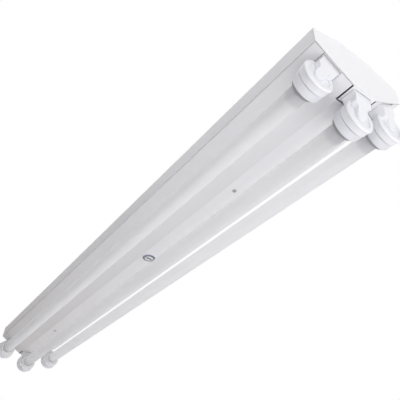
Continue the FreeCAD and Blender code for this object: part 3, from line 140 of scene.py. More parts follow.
def build_skin_group():
    """Slow tone changes, fine skin, wear and dust, shared by all the surfaces."""
    group = bpy.data.node_groups.new("surface skin", "ShaderNodeTree")
    for label, default in (("Tone Scale", 8.0), ("Skin Scale", 900.0), ("Skin Detail", 3.0)):
        socket = group.interface.new_socket(
            label, in_out="INPUT", socket_type="NodeSocketFloat"
        )
        socket.default_value = default
    for label in ("Tone", "Skin", "Wear", "Dust"):
        group.interface.new_socket(label, in_out="OUTPUT", socket_type="NodeSocketFloat")
    given = group.nodes.new("NodeGroupInput")
    result = group.nodes.new("NodeGroupOutput")
    place = add_node(group, "ShaderNodeTexCoord")
    slow = add_node(group, "ShaderNodeTexNoise", {"Detail": 3.0, "Roughness": 0.55})
    fine = add_node(group, "ShaderNodeTexNoise", {"Roughness": 0.5})
    wear = add_node(group, "ShaderNodeTexNoise", {"Scale": 60.0, "Detail": 6.0})
    specks = add_node(group, "ShaderNodeTexNoise", {"Scale": 420.0, "Detail": 2.0})
    for noise in (slow, fine, wear, specks):
        join(group, place, "Object", noise, "Vector")
    join(group, given, "Tone Scale", slow, "Scale")
    join(group, given, "Skin Scale", fine, "Scale")
    join(group, given, "Skin Detail", fine, "Detail")
    join(group, slow, "Fac", result, "Tone")
    join(group, fine, "Fac", result, "Skin")
    join(group, wear, "Fac", result, "Wear")
    dust = add_node(group, "ShaderNodeMapRange", {"From Min": 0.66, "From Max": 0.8})
    join(group, specks, "Fac", dust, "Value")
    join(group, dust, "Result", result, "Dust")
    return group


skin_group = build_skin_group()


def finish_material(name, light, dark, rough, skin, coat=0.0, metallic=0.0, edge=0.0,
                    crease=None):
    """A material whose colour drifts between two tones and whose skin has a fine bump.

    rough is the lowest and highest roughness, skin is (scale, depth in metres, tone scale),
    edge is the radius in metres of the rounding seen on its edges, and crease is (reach in
    metres, colour) of the painted shade darkened into narrow gaps and creases.
    """
    made = bpy.data.materials.new(name)
    made.use_nodes = True
    tree = made.node_tree
    shader = tree.nodes["Principled BSDF"]
    shader.inputs["Metallic"].default_value = metallic
    shader.inputs["Coat Weight"].default_value = coat
    shader.inputs["Coat Roughness"].default_value = 0.08
    skin_scale, skin_depth, tone_scale = skin
    surface = add_node(tree, "ShaderNodeGroup", {
        "Skin Scale": skin_scale, "Tone Scale": tone_scale,
    }, node_tree=skin_group)
    tone = add_node(tree, "ShaderNodeMix", data_type="RGBA")
    tone.inputs[6].default_value = (*dark, 1)
    tone.inputs[7].default_value = (*light, 1)
    tree.links.new(surface.outputs["Tone"], tone.inputs[0])
    tree.links.new(tone.outputs[2], shader.inputs["Base Color"])
    recolour(made, surface.outputs["Dust"], DUST)
    # Painted shade: the colour darkens towards the crease colour where ambient occlusion finds narrow gaps.
    if crease:
        reach, crease_shade_colour = crease
        hidden = add_node(tree, "ShaderNodeAmbientOcclusion", {"Distance": reach}, samples=8)
        deep = add_node(tree, "ShaderNodeMapRange", {"From Min": 0.75, "From Max": 0.35})
        join(tree, hidden, "AO", deep, "Value")
        recolour(made, deep.outputs["Result"], crease_shade_colour)
    gloss = add_node(tree, "ShaderNodeMapRange", {"To Min": rough[0], "To Max": rough[1]})
    join(tree, surface, "Wear", gloss, "Value")
    join(tree, gloss, "Result", shader, "Roughness")
    bump = add_node(tree, "ShaderNodeBump", {"Distance": skin_depth})
    join(tree, surface, "Skin", bump, "Height")
    join(tree, bump, "Normal", shader, "Normal")
    if edge:
        rounded = add_node(tree, "ShaderNodeBevel", {"Radius": edge}, samples=4)
        join(tree, rounded, "Normal", bump, "Normal")
    return made


def dress(nodes, made):
    """Give CAD nodes a new material in every slot."""
    for node in nodes:
        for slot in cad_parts[node].material_slots:
            slot.material = made


def paint_light_along_batten(made, far_light_tint, cool_from):
    """Painted light: tint a material from cool at the near end to warm at the far end of the batten."""
    tree = made.node_tree
    base = tree.nodes["Principled BSDF"].inputs["Base Color"]
    share = add_node(tree, "ShaderNodeMapRange", {"From Min": FAR_END, "From Max": cool_from})
    tree.links.new(object_place(tree)["X"], share.inputs["Value"])
    tint = add_node(tree, "ShaderNodeMix", data_type="RGBA")
    tint.inputs[6].default_value = (*far_light_tint, 1)
    tint.inputs[7].default_value = (*NEAR_LIGHT_TINT, 1)
    tree.links.new(share.outputs["Result"], tint.inputs[0])
    tinted = add_node(tree, "ShaderNodeMix", data_type="RGBA", blend_type="MULTIPLY")
    tinted.inputs[0].default_value = 1.0
    tree.links.new(base.links[0].from_socket, tinted.inputs[6])
    tree.links.new(tint.outputs[2], tinted.inputs[7])
    tree.links.new(tinted.outputs[2], base)


def powder_paint(name, far_light_tint, cool_from=0.1, crease=(0.003, (0.72, 0.71, 0.70))):
    """White powder paint with painted light, warmer towards the far end, and painted shade in creases."""
    made = finish_material(
        name, (0.875, 0.875, 0.885), (0.835, 0.835, 0.85), (0.34, 0.48), PAINT_SKIN,
        coat=0.12, edge=PAINT_EDGE, crease=crease,
    )
    paint_light_along_batten(made, far_light_tint, cool_from)
    return made


def shade_the_notches(made):
    """Near-black in the narrow gaps between the ridge's notches and the brackets in them."""
    tree = made.node_tree
    place = object_place(tree)
    left, right = [within(tree, place["Y"], *gap) for gap in NOTCH_GAPS]
    along = within(tree, absolute(tree, place["X"]), *NOTCH_ALONG)
    mask = combined(tree, "MULTIPLY", combined(tree, "ADD", left, right), along)
    mask = combined(tree, "MULTIPLY", mask, within(tree, place["Z"], *NOTCH_LEVEL))
    recolour(made, mask, NOTCH_SHADE)


cover_paint = powder_paint("white cover paint", FAR_LIGHT_TINT)
tray_paint = powder_paint("white tray paint", TRAY_FAR_SHADE_TINT, cool_from=-0.2)
# Near-black crease colour: painted shade in the slots and folds round the lampholders.
bracket_paint = powder_paint("white bracket paint", FAR_LIGHT_TINT,
                             crease=(0.005, (0.10, 0.10, 0.11)))
shade_the_notches(cover_paint)
shade_the_notches(bracket_paint)
dress(["gear_tray"], tray_paint)
dress(["reflector_cover", "end_plate_a", "end_plate_b"], cover_paint)
dress(["lampholder_bracket_a", "lampholder_bracket_b"], bracket_paint)

# Cover screws: two small pan heads of browned steel, with a cross recess and a thread rolled
# on the shank. They are driven through the ridge into the bridges behind it.
FIXING_LINE = -0.0055
RIDGE_LEVEL = -0.0795
COVER_SCREW_X = 0.3765
CROSS_WIDTH = 0.22
CROSS_LENGTH = 1.15
CROSS_DEPTH = 0.6


def new_piece(name, mesh, made, body):
    """Link a finished mesh as one piece that rides on a body."""
    piece = bpy.data.objects.new(name, mesh)
    bpy.context.collection.objects.link(piece)
    mesh.materials.clear()
    mesh.materials.append(made)
    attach(piece, body)
    return piece


def as_mesh(shape, name):
    """A finished shape as a mesh whose faces point outwards."""
    bmesh.ops.recalc_face_normals(shape, faces=shape.faces)
    mesh = bpy.data.meshes.new(name)
    shape.to_mesh(mesh)
    shape.free()
    return mesh


def band(shape, one, other):
    """Faces between two closed loops of points."""
    for number in range(len(one)):
        after = (number + 1) % len(one)
        shape.faces.new((one[number], other[number], other[after], one[after]))


def lathe(profile, steps=48):
    """A closed turned shape round Z from its (radius, height) profile."""
    shape = bmesh.new()
    rings = []
    for radius, height in profile:
        if radius == 0:
            rings.append([shape.verts.new((0, 0, height))])
            continue
        turns = [2 * math.pi * step / steps for step in range(steps)]
        rings.append([shape.verts.new((radius * math.cos(turn), radius * math.sin(turn), height))
                      for turn in turns])
    for one, other in zip(rings, rings[1:]):
        for step in range(steps):
            after = (step + 1) % steps
            corners = [one[step % len(one)], one[after % len(one)],
                       other[after % len(other)], other[step % len(other)]]
            shape.faces.new(dict.fromkeys(corners))
    return as_mesh(shape, "turned")


def cut_from(mesh, cutter):
    """The mesh with the cutter's volume taken out of it."""
    whole = bpy.data.objects.new("whole", mesh)
    tool = bpy.data.objects.new("tool", cutter)
    for piece in (whole, tool):
        bpy.context.collection.objects.link(piece)
    taken = whole.modifiers.new("taken", "BOOLEAN")
    taken.operation = "DIFFERENCE"
    taken.solver = "EXACT"
    taken.object = tool
    state = bpy.context.evaluated_depsgraph_get()
    result = bpy.data.meshes.new_from_object(whole.evaluated_get(state))
    whole.modifiers.clear()
    for piece in (whole, tool):
        bpy.data.objects.remove(piece)
    return result


def shade_edges(mesh, angle=30):
    """Smooth faces with sharp edges where the shape turns by more than the angle."""
    shape = bmesh.new()
    shape.from_mesh(mesh)
    for face in shape.faces:
        face.smooth = True
    for edge in shape.edges:
        if len(edge.link_faces) == 2:
            edge.smooth = edge.calc_face_angle(0) < math.radians(angle)
    shape.to_mesh(mesh)
    shape.free()
    return mesh


def cross_cutter(width, length, depth, face):
    """Two crossed tapered blades that reach depth into a screw head whose face is given."""
    shape = bmesh.new()
    for turned_blade in (False, True):
        loops = []
        for height, share in ((face - depth, 1.25), (face + depth, 0.55)):
            half_length = length / 2 * share
            half_width = width / 2
            corners = [(half_length, half_width), (-half_length, half_width),
                       (-half_length, -half_width), (half_length, -half_width)]
            loops.append([shape.verts.new((y, x, height) if turned_blade else (x, y, height))
                          for x, y in corners])
        low, high = loops
        shape.faces.new(low)
        shape.faces.new(high[::-1])
        band(shape, low, high)
    return as_mesh(shape, "cross")


def screw_mesh(head, height, shank, length, pitch):
    """A pan-head screw with a cross recess: head below the origin, threaded shank above."""
    profile = [
        (0, -height), (head * 0.45, -height * 0.99), (head * 0.72, -height * 0.88),
        (head * 0.9, -height * 0.62), (head * 0.985, -height * 0.3), (head, -height * 0.08),
        (head * 0.96, 0), (shank * 0.86, 0),
    ]
    turns = int((length - 2 * pitch) / pitch)
    for turn in range(turns):
        start = pitch * (turn + 0.5)
        profile += [(shank * 0.84, start), (shank, start + pitch / 2)]
    profile += [(shank * 0.84, pitch * (turns + 0.5)), (shank * 0.7, length - pitch / 2),
                (0, length)]
    cross = cross_cutter(head * CROSS_WIDTH, head * CROSS_LENGTH, height * CROSS_DEPTH, -height)
    return shade_edges(cut_from(lathe(profile), cross))


def merged(meshes, name):
    """Several meshes as one."""
    shape = bmesh.new()
    for mesh in meshes:
        shape.from_mesh(mesh)
    result = bpy.data.meshes.new(name)
    shape.to_mesh(result)
    shape.free()
    return result


def moved(mesh, placement):
    """A copy of the mesh under a placement."""
    copy = mesh.copy()
    copy.transform(placement)
    return copy


browned_steel = finish_material(
    "browned screw steel", (0.54, 0.53, 0.54), (0.43, 0.425, 0.43), (0.34, 0.52),
    (2500.0, 0.00004, 200.0), metallic=0.8, crease=(0.0015, (0.2, 0.2, 0.2)),
)
cover_screw = screw_mesh(head=0.0034, height=0.0019, shank=0.0019, length=0.009, pitch=0.0009)
cover_screws = merged(
    [moved(cover_screw, Matrix.Translation((way * COVER_SCREW_X, FIXING_LINE, RIDGE_LEVEL)))
     for way in (-1, 1)], "turned_cover_screws",
)
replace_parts(new_piece("turned_cover_screws", cover_screws, browned_steel, "batten"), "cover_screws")

# Quarter-turn fastener: a bright stud turned from steel with a coin slot, in a moulded
# ferrule that is pressed into the ridge. The ferrule is pale, with painted shade as a
# blue-grey ring on its face round the stud. Painted shade darkens the slot and its lips.
FASTENER_X = 0.112
GAP_SHADE_MIDDLE = 0.01045
GAP_SHADE_HALF_WIDTH = 0.00185
SLOT_LIP = 0.0016
SLOT_REACH = 0.0056
SLOT_SHADE = (0.10, 0.095, 0.14)
PALE_NYLON = (0.70, 0.71, 0.79)


def slotted_steel():
    """Bright turned steel with painted shade in and beside the coin slot and in its creases."""
    made = finish_material(
        "turned bright steel", (0.88, 0.885, 0.90), (0.80, 0.81, 0.83), (0.35, 0.5),
        (3000.0, 0.00003, 120.0), metallic=0.3, crease=(0.006, (0.02, 0.022, 0.04)),
    )
    tree = made.node_tree
    place = object_place(tree)
    slot = combined(tree, "MULTIPLY", within(tree, place["X"], FASTENER_X, SLOT_LIP),
                    within(tree, place["Y"], FIXING_LINE, SLOT_REACH))
    # Painted shade: the slot and its lips are darkened.
    recolour(made, slot, SLOT_SHADE)
    return made


def ferrule_with_painted_gap_shade():
    """Pale nylon with painted shade: a dark blue-grey ring round the fastener's axis, at the gap round the
    stud.
    """
    made = finish_material(
        "ferrule nylon with painted gap shade", (0.23, 0.242, 0.31), (0.19, 0.20, 0.26), (0.5, 0.65),
        (2200.0, 0.00005, 60.0),
    )
    tree = made.node_tree
    place = add_node(tree, "ShaderNodeTexCoord")
    shift = add_node(tree, "ShaderNodeVectorMath", operation="SUBTRACT")
    shift.inputs[1].default_value = (FASTENER_X, FIXING_LINE, 0)
    flat = add_node(tree, "ShaderNodeVectorMath", operation="MULTIPLY")
    flat.inputs[1].default_value = (1, 1, 0)
    radius = add_node(tree, "ShaderNodeVectorMath", operation="LENGTH")
    tree.links.new(place.outputs["Object"], shift.inputs[0])
    tree.links.new(shift.outputs[0], flat.inputs[0])
    tree.links.new(flat.outputs[0], radius.inputs[0])
    # Painted shade of the gap round the stud: dark blue-grey on this ring, pale nylon elsewhere.
    ring = within(tree, radius.outputs["Value"], GAP_SHADE_MIDDLE, GAP_SHADE_HALF_WIDTH)
    off_ring = add_node(tree, "ShaderNodeMath", operation="SUBTRACT")
    off_ring.inputs[0].default_value = 1.0
    tree.links.new(ring, off_ring.inputs[1])
    recolour(made, off_ring.outputs[0], PALE_NYLON, "MIX")
    return made


dress(["fastener_stud"], slotted_steel())
dress(["fastener_ferrule"], ferrule_with_painted_gap_shade())

# Lampholder housings: glossy white polycarbonate mouldings, one at each end of each lamp,
# held by a screw from inside the bracket. Each spigot has a coarse moulded thread that is
# interrupted at the side where the lamp goes in.
SIDES = ("left", "middle", "right")
HOLDERS = [(side, end) for side in SIDES for end in ("a", "b")]
HALF_LAMP = 0.5997
PANEL_RISE = 0.0378
PANEL_RUN = 0.06175
SEAT_SLOPE = math.atan2(PANEL_RISE, PANEL_RUN)
SPIGOT_RADIUS = 0.0192
THREAD_PITCH = 0.004
THREAD_DEPTH = 0.00022
THREAD_HALF_BASE = 0.0009
THREAD_START = 0.0002
THREAD_OPENING = math.radians(52)
THREAD_STEPS = 72
holder_plastic = finish_material(
    "glossy white holder plastic", (0.865, 0.865, 0.90), (0.84, 0.84, 0.875), (0.30, 0.42),
    (700.0, 0.00004, 25.0), coat=0.04, edge=0.0004, crease=(0.0012, (0.62, 0.62, 0.70)),
)
dress([f"lampholder_{side}_{end}" for side, end in HOLDERS], holder_plastic)
dress([f"rotor_{side}_{end}" for side, end in HOLDERS], holder_plastic)


def holder_placement(side, end):
    """Local X from the lamp's end to its middle, local Z from its axis up to the seat."""
    low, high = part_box(f"lamp_tube_{side}")
    axis = (Vector(low) + Vector(high)) / 2
    roll = {"left": -SEAT_SLOPE, "middle": 0, "right": SEAT_SLOPE}[side]
    turn = Matrix.Rotation(roll, 4, "X")
    along = -HALF_LAMP
    if end == "a":
        turn = turn @ Matrix.Rotation(math.pi, 4, "Z")
        along = HALF_LAMP
    return Matrix.Translation((along, axis.y, axis.z)) @ turn


def spigot_thread(way):
    """Two interrupted turns of rounded thread round local X, open to the way of local Y."""
    shape = bmesh.new()
    first, last = THREAD_OPENING, 2 * math.pi - THREAD_OPENING
    for turn in range(2):
        before = None
        for step in range(THREAD_STEPS + 1):
            angle = first + (last - first) * step / THREAD_STEPS
            fade = min(1, 4 * math.sin(math.pi * step / THREAD_STEPS))
            x = THREAD_START + THREAD_PITCH * (turn + angle / (2 * math.pi))
            section = []
            for offset, lift in ((-1, -0.3), (-0.45, 1), (0.45, 1), (1, -0.3)):
                radius = SPIGOT_RADIUS + THREAD_DEPTH * (lift * fade if lift > 0 else lift)
                section.append(shape.verts.new((
                    x + offset * THREAD_HALF_BASE,
                    way * radius * math.cos(angle),
                    radius * math.sin(angle),
                )))
            if before:
                band(shape, before, section)
            else:
                shape.faces.new(section)
            before = section
        shape.faces.new(before[::-1])
    return shade_edges(as_mesh(shape, "spigot_thread"))


for side, end in HOLDERS:
    outward = -1 if side == "left" else 1
    way = outward if end == "b" else -outward
    thread = moved(spigot_thread(way), holder_placement(side, end))
    new_piece(f"spigot_thread_{side}_{end}", thread, holder_plastic, "batten")

# Screw rings: moulded from a like white plastic and screwed on to the spigots by hand, to
# squeeze the seals. Fine straight ribs round each ring give the fingers a hold.
RIB_COUNT = 72
RING_RADIUS = 0.022
RIB_START = 0.0022
RIB_END = 0.0109
RIB_TAPER = 0.0008
RIB_HALF_WIDTH = 0.00042
RIB_HEIGHT = 0.00034
RIB_SINK = 0.0001
RIB_STEPS = 6
ring_plastic = finish_material(
    "white ring plastic", (0.84, 0.84, 0.89), (0.815, 0.815, 0.865), (0.28, 0.40),
    (700.0, 0.00004, 25.0), coat=0.1, edge=0.0004, crease=(0.0012, (0.55, 0.55, 0.66)),
)
dress([f"ring_nut_{side}_{end}" for side, end in HOLDERS], ring_plastic)


def build_rib_array():
    """Geometry nodes that set copies of the given shape round the X axis."""
    tree = bpy.data.node_groups.new("rib array", "GeometryNodeTree")
    tree.interface.new_socket("Geometry", in_out="INPUT", socket_type="NodeSocketGeometry")
    tree.interface.new_socket("Count", in_out="INPUT", socket_type="NodeSocketInt")
    tree.interface.new_socket("Finish", in_out="INPUT", socket_type="NodeSocketMaterial")
    tree.interface.new_socket("Geometry", in_out="OUTPUT", socket_type="NodeSocketGeometry")
    given = tree.nodes.new("NodeGroupInput")
    result = tree.nodes.new("NodeGroupOutput")
    places = add_node(tree, "GeometryNodeMeshLine", {"Offset": (0, 0, 0)})
    number = tree.nodes.new("GeometryNodeInputIndex")
    spacing = add_node(tree, "ShaderNodeMath", operation="DIVIDE")
    spacing.inputs[0].default_value = 2 * math.pi
    tree.links.new(given.outputs["Count"], spacing.inputs[1])
    angle = combined(tree, "MULTIPLY", number.outputs[0], spacing.outputs[0])
    euler = tree.nodes.new("ShaderNodeCombineXYZ")
    turn = tree.nodes.new("FunctionNodeEulerToRotation")
    copies = tree.nodes.new("GeometryNodeInstanceOnPoints")
    real = tree.nodes.new("GeometryNodeRealizeInstances")
    painted = tree.nodes.new("GeometryNodeSetMaterial")
    join(tree, given, "Count", places, "Count")
    tree.links.new(angle, euler.inputs["X"])
    tree.links.new(euler.outputs[0], turn.inputs[0])
    join(tree, places, "Mesh", copies, "Points")
    join(tree, given, "Geometry", copies, "Instance")
    tree.links.new(turn.outputs[0], copies.inputs["Rotation"])
    join(tree, copies, "Instances", real, "Geometry")
    join(tree, real, "Geometry", painted, "Geometry")
    join(tree, given, "Finish", painted, "Material")
    join(tree, painted, "Geometry", result, "Geometry")
    return tree


def rib_mesh():
    """One half-round rib along X on top of the ring, with its ends drawn in."""
    shape = bmesh.new()
    rows = []
    for x, share in ((RIB_START, 0), (RIB_START + RIB_TAPER, 1), (RIB_END - RIB_TAPER, 1),
                     (RIB_END, 0)):
        row = []
        for step in range(RIB_STEPS + 1):
            angle = math.pi * step / RIB_STEPS
            row.append(shape.verts.new((
                x, RIB_HALF_WIDTH * math.cos(angle),
                RING_RADIUS - RIB_SINK + RIB_HEIGHT * math.sin(angle) * share,
            )))
        rows.append(row)
    for one, other in zip(rows, rows[1:]):
        for step in range(RIB_STEPS):
            shape.faces.new((one[step], one[step + 1], other[step + 1], other[step]))
        shape.faces.new((one[0], other[0], other[-1], one[-1]))
    mesh = as_mesh(shape, "rib")
    for face in mesh.polygons:
        face.use_smooth = True
    return mesh


def arrayed(template, tree, count, made):
    """The template repeated round the X axis by the node tree, as a real mesh."""
    host = bpy.data.objects.new("rib_host", template.copy())
    bpy.context.collection.objects.link(host)
    nodes = host.modifiers.new("ribs", "NODES")
    nodes.node_group = tree
    names = {item.name: item.identifier for item in tree.interface.items_tree
             if item.in_out == "INPUT"}
    nodes[names["Count"]] = count
    nodes[names["Finish"]] = made
    state = bpy.context.evaluated_depsgraph_get()
    mesh = bpy.data.meshes.new_from_object(host.evaluated_get(state))
    host.modifiers.clear()
    bpy.data.objects.remove(host)
    return mesh


ring_ribs = arrayed(rib_mesh(), build_rib_array(), RIB_COUNT, ring_plastic)
for side, end in HOLDERS:
    new_piece(f"ring_grip_{side}_{end}", moved(ring_ribs, holder_placement(side, end)),
              ring_plastic, f"ring_nut_{side}_{end}")

# Rubber parts: six moulded silicone seals, pushed over the lamps into the screw rings, and
# the dark grommet that snaps into the cable entry. Both are matt, with a soft bloom. The
# seals at the near end are a darker copy of the same silicone: painted shade, as they face away from the
# lamps.
# Painted shade: a darker copy of the pale seal silicone below.
near_silicone_painted_shade = finish_material(
    "seal silicone in painted shade", (0.44, 0.435, 0.445), (0.38, 0.375, 0.385), (0.55, 0.75),
    (1800.0, 0.00006, 40.0),
)
far_silicone = finish_material(
    "pale seal silicone", (0.74, 0.735, 0.745), (0.68, 0.675, 0.685), (0.55, 0.75),
    (1800.0, 0.00006, 40.0),
)
grommet_rubber = finish_material(
    "dark grommet rubber", (0.06, 0.06, 0.063), (0.04, 0.04, 0.043), (0.55, 0.75),
    (1800.0, 0.00008, 40.0),
)
dress([f"seal_{side}_a" for side in SIDES], near_silicone_painted_shade)
dress([f"seal_{side}_b" for side in SIDES], far_silicone)
dress(["cable_grommet"], grommet_rubber)

# Lamps: glass tubes coated white inside, with spun aluminium caps whose pins stand in the
# rotors of the lampholders. The coating lets some light through, and it is thinner and
# greyer next to the caps.
COATING_START = 0.562
COATING_FULL = 0.569
THIN_COATING = (0.86, 0.86, 0.875)
LIGHT_SPREAD = 0.62
LIGHT_PASSED = 0.87


def coated_glass():
    """Opal lamp glass: mostly a smooth white surface, partly light passing through it."""
    made = finish_material(
        "coated lamp glass", (0.87, 0.87, 0.885), (0.85, 0.85, 0.865), (0.36, 0.48),
        (300.0, 0.00001, 10.0), coat=0.04,
    )
    tree = made.node_tree
    shader = tree.nodes["Principled BSDF"]
    shader.inputs["Specular IOR Level"].default_value = 0.3
    thin = add_node(tree, "ShaderNodeMapRange", {
        "From Min": COATING_START, "From Max": COATING_FULL,
    })
    tree.links.new(absolute(tree, object_place(tree)["X"]), thin.inputs["Value"])
    recolour(made, thin.outputs["Result"], THIN_COATING)
    glow = add_node(tree, "ShaderNodeBsdfTranslucent")
    tree.links.new(shader.inputs["Base Color"].links[0].from_socket, glow.inputs["Color"])
    mixed = add_node(tree, "ShaderNodeMixShader", {"Fac": LIGHT_SPREAD})
    tree.links.new(shader.outputs[0], mixed.inputs[1])
    tree.links.new(glow.outputs[0], mixed.inputs[2])
    clear = tree.nodes.new("ShaderNodeBsdfTransparent")
    ray = tree.nodes.new("ShaderNodeLightPath")
    passing = combined(tree, "MAXIMUM", ray.outputs["Is Shadow Ray"],
                       ray.outputs["Is Diffuse Ray"])
    share = add_node(tree, "ShaderNodeMath", operation="MULTIPLY")
    share.inputs[1].default_value = LIGHT_PASSED
    tree.links.new(passing, share.inputs[0])
    lit = tree.nodes.new("ShaderNodeMixShader")
    tree.links.new(share.outputs[0], lit.inputs["Fac"])
    tree.links.new(mixed.outputs[0], lit.inputs[1])
    tree.links.new(clear.outputs[0], lit.inputs[2])
    tree.links.new(lit.outputs[0], tree.nodes["Material Output"].inputs["Surface"])
    return made


lamp_glass = coated_glass()
cap_aluminium = finish_material(
    "spun cap aluminium", (0.78, 0.79, 0.80), (0.70, 0.71, 0.72), (0.25, 0.4),
    (2600.0, 0.00003, 90.0), metallic=1.0,
)
dress([f"lamp_tube_{side}" for side in SIDES], lamp_glass)
dress([f"lamp_cap_{side}_{end}" for side, end in HOLDERS], cap_aluminium)

# Holder screws: six zinc plated pan heads with a cross recess, driven from inside the
# brackets into the feet of the lampholders.
SEAT_HEIGHT = 0.029
BRACKET_SHEET = 0.0012
SCREW_SETBACK = 0.005
zinc_steel = finish_material(
    "zinc plated steel", (0.66, 0.67, 0.69), (0.55, 0.56, 0.58), (0.3, 0.5),
    (1500.0, 0.00005, 45.0), metallic=1.0,
)
holder_screw = screw_mesh(head=0.0036, height=0.0024, shank=0.00165, length=0.0082,
                          pitch=0.0009)
on_the_seat = Matrix.Translation((-SCREW_SETBACK, 0, SEAT_HEIGHT + BRACKET_SHEET)) @ (
    Matrix.Rotation(math.pi, 4, "X"))
holder_screws = merged([moved(holder_screw, holder_placement(side, end) @ on_the_seat)
                        for side, end in HOLDERS], "threaded_holder_screws")
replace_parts(new_piece("threaded_holder_screws", holder_screws, zinc_steel, "batten"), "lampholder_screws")

# Gear inside the body: ballast cases of enamelled sheet on weld studs, pale terminal
# mouldings, sleeved wires, zinc plated bridges and nuts, and contacts bent from spring brass.
case_enamel = finish_material(
    "ballast case enamel", (0.80, 0.80, 0.77), (0.75, 0.75, 0.72), (0.35, 0.5),
    (1100.0, 0.00008, 18.0), edge=0.0006,
)
gear_plastic = finish_material(
    "pale terminal plastic", (0.76, 0.76, 0.74), (0.71, 0.71, 0.69), (0.4, 0.6),
    (1200.0, 0.00006, 30.0), edge=0.0003,
)
wire_sleeve = finish_material(
    "woven wire sleeve", (0.84, 0.83, 0.79), (0.68, 0.67, 0.63), (0.6, 0.8),
    (2600.0, 0.00030, 500.0),
)
spring_brass = finish_material(
    "spring brass", (0.72, 0.55, 0.26), (0.62, 0.46, 0.20), (0.2, 0.35),
    (2400.0, 0.00003, 90.0), metallic=1.0,
)
dress(["cover_bridge_a", "cover_bridge_b", "fastener_bridge", "fastener_retainer",
       "ballast_nuts", "earth_nut"], zinc_steel)
dress(["twin_ballast_case", "single_ballast_case"], case_enamel)
dress(["ballast_terminals", "mains_terminal_block"], gear_plastic)
dress(["lamp_wiring_a", "lamp_wiring_b", "mains_wiring"], wire_sleeve)
dress(["holder_contacts_a", "holder_contacts_b"], spring_brass)

# Ballast lids: thin pressed sheet lids in the same enamel, let into the face of each
# ballast case, with rounded edges and three stiffening beads pressed along them.
LID_INSET = 0.0017
LID_RISE = 0.0005
LID_SINK = 0.0003
BEAD_RISE = 0.0006
BEAD_HALF_WIDTH = 0.0012
BEAD_SPACING = 0.007
BEAD_MARGIN = 0.008
BEAD_RUN_OUT = 0.0025
CASE_END = 0.027


def lid_mesh(name):
    """A pressed lid with three beads, fitted to the full-depth part of a ballast case."""
    low, high = (Vector(corner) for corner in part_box(name))
    left, right = low.x + CASE_END + LID_INSET, high.x - CASE_END - LID_INSET
    near, far = low.y + LID_INSET, high.y - LID_INSET
    middle = (near + far) / 2
    across = sorted({near, near + LID_RISE, far - LID_RISE, far} | {
        middle + bead * BEAD_SPACING + BEAD_HALF_WIDTH * step / 5
        for bead in (-1, 0, 1) for step in range(-5, 6)
    })
    bead_start = left + BEAD_MARGIN
    bead_end = right - BEAD_MARGIN
    along = [(left, 0, 0), (left + LID_RISE, 1, 0), (bead_start, 1, 0),
             (bead_start + BEAD_RUN_OUT, 1, 1), (bead_end - BEAD_RUN_OUT, 1, 1),
             (bead_end, 1, 0), (right - LID_RISE, 1, 0), (right, 0, 0)]
    shape = bmesh.new()
    rows = []
    for x, edge, bead in along:
        row = []
        for y in across:
            off = (y - middle + BEAD_SPACING * 1.5) % BEAD_SPACING - BEAD_SPACING / 2
            raised = max(0, 1 - (off / BEAD_HALF_WIDTH) ** 2)
            if abs(y - middle) > BEAD_SPACING * 1.5:
                raised = 0
            flat = edge if near < y < far else 0
            row.append(shape.verts.new(
                (x, y, low.z - LID_RISE * flat - BEAD_RISE * raised * bead)))
        rows.append(row)
    for one, other in zip(rows, rows[1:]):
        for step in range(len(across) - 1):
            shape.faces.new((one[step], one[step + 1], other[step + 1], other[step]))
    outline = (rows[0] + [row[-1] for row in rows[1:]] + rows[-1][-2::-1]
               + [row[0] for row in rows[-2:0:-1]])
    sunk = [shape.verts.new((vert.co.x, vert.co.y, low.z + LID_SINK)) for vert in outline]
    band(shape, outline, sunk)
    shape.faces.new(sunk)
    return shade_edges(as_mesh(shape, "lid"), 50)


for case in ("twin", "single"):
    new_piece(f"{case}_ballast_lid", lid_mesh(f"{case}_ballast_case"), case_enamel,
              "batten")

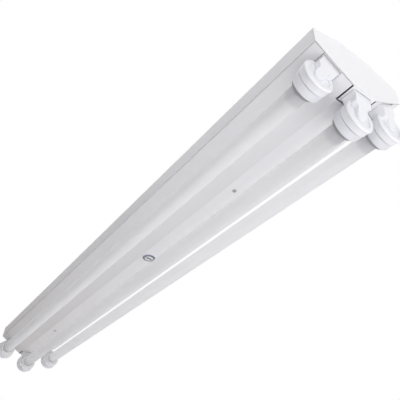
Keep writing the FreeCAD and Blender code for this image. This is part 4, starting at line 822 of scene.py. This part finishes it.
# Studio: a plain pale floor well below, a white background that only the camera and
# reflections see in full, and soft lamps.
FLOOR_LEVEL = -1.5
HALF_FLOOR = 7
WORLD_LIGHT = 0.172
floor_mesh = bpy.data.meshes.new("studio_floor")
floor_mesh.from_pydata(
    [(x * HALF_FLOOR, y * HALF_FLOOR, FLOOR_LEVEL)
     for x, y in ((-1, -1), (1, -1), (1, 1), (-1, 1))],
    [], [(0, 1, 2, 3)],
)
studio_floor = bpy.data.objects.new("studio_floor", floor_mesh)
bpy.context.collection.objects.link(studio_floor)
floor_paint = finish_material(
    "pale studio floor", (0.90, 0.90, 0.90), (0.88, 0.88, 0.88), (0.7, 0.8),
    (30.0, 0.0001, 1.0),
)
floor_mesh.materials.append(floor_paint)

world = bpy.data.worlds.new("studio")
world.use_nodes = True
bpy.context.scene.world = world
sky = world.node_tree
background = sky.nodes["Background"]
background.inputs["Color"].default_value = (1, 1, 1, 1)
rays = add_node(sky, "ShaderNodeLightPath")
seen = combined(sky, "MAXIMUM", rays.outputs["Is Camera Ray"], rays.outputs["Is Glossy Ray"])
seen = combined(sky, "MAXIMUM", seen, rays.outputs["Is Transmission Ray"])
level = add_node(sky, "ShaderNodeMapRange", {"To Min": WORLD_LIGHT, "To Max": 1.0})
sky.links.new(seen, level.inputs["Value"])
sky.links.new(level.outputs["Result"], background.inputs["Strength"])


def softbox(name, place, target, size, power, colour=(1, 1, 1)):
    """A square area lamp that faces a point."""
    data = bpy.data.lights.new(name, "AREA")
    data.shape = "SQUARE"
    data.size = size
    data.energy = power
    data.color = colour
    lamp = bpy.data.objects.new(name, data)
    lamp.location = place
    facing = Vector(target) - Vector(place)
    lamp.rotation_euler = facing.to_track_quat("-Z", "Y").to_euler()
    bpy.context.collection.objects.link(lamp)


softbox("top_softbox", (0, 0, 2.5), (0, 0, 0), 5.0, 56)
softbox("end_softbox", (6.0, 0.5, -0.3), (0.3, 0, -0.07), 2.6, 88)
softbox("under_softbox", (0.5, 0.5, -1.45), (0.2, 0, 0), 2.2, 17)
softbox("low_softbox", (0.6, -0.2, -1.45), (0.3, 0, 0), 2.2, 10)
softbox("side_softbox", (1.4, -1.2, -0.35), (0.5, 0, 0), 1.0, 6)
softbox("right_softbox", (1.5, 1.8, -0.4), (0.6, 0.05, -0.1), 0.9, 6, (0.95, 0.97, 1.0))
softbox("far_softbox", (-0.7, 0.3, -1.45), (-0.3, 0, 0), 2.2, 6.5, (1.0, 0.92, 0.90))

bpy.context.scene.view_settings.view_transform = "Standard"
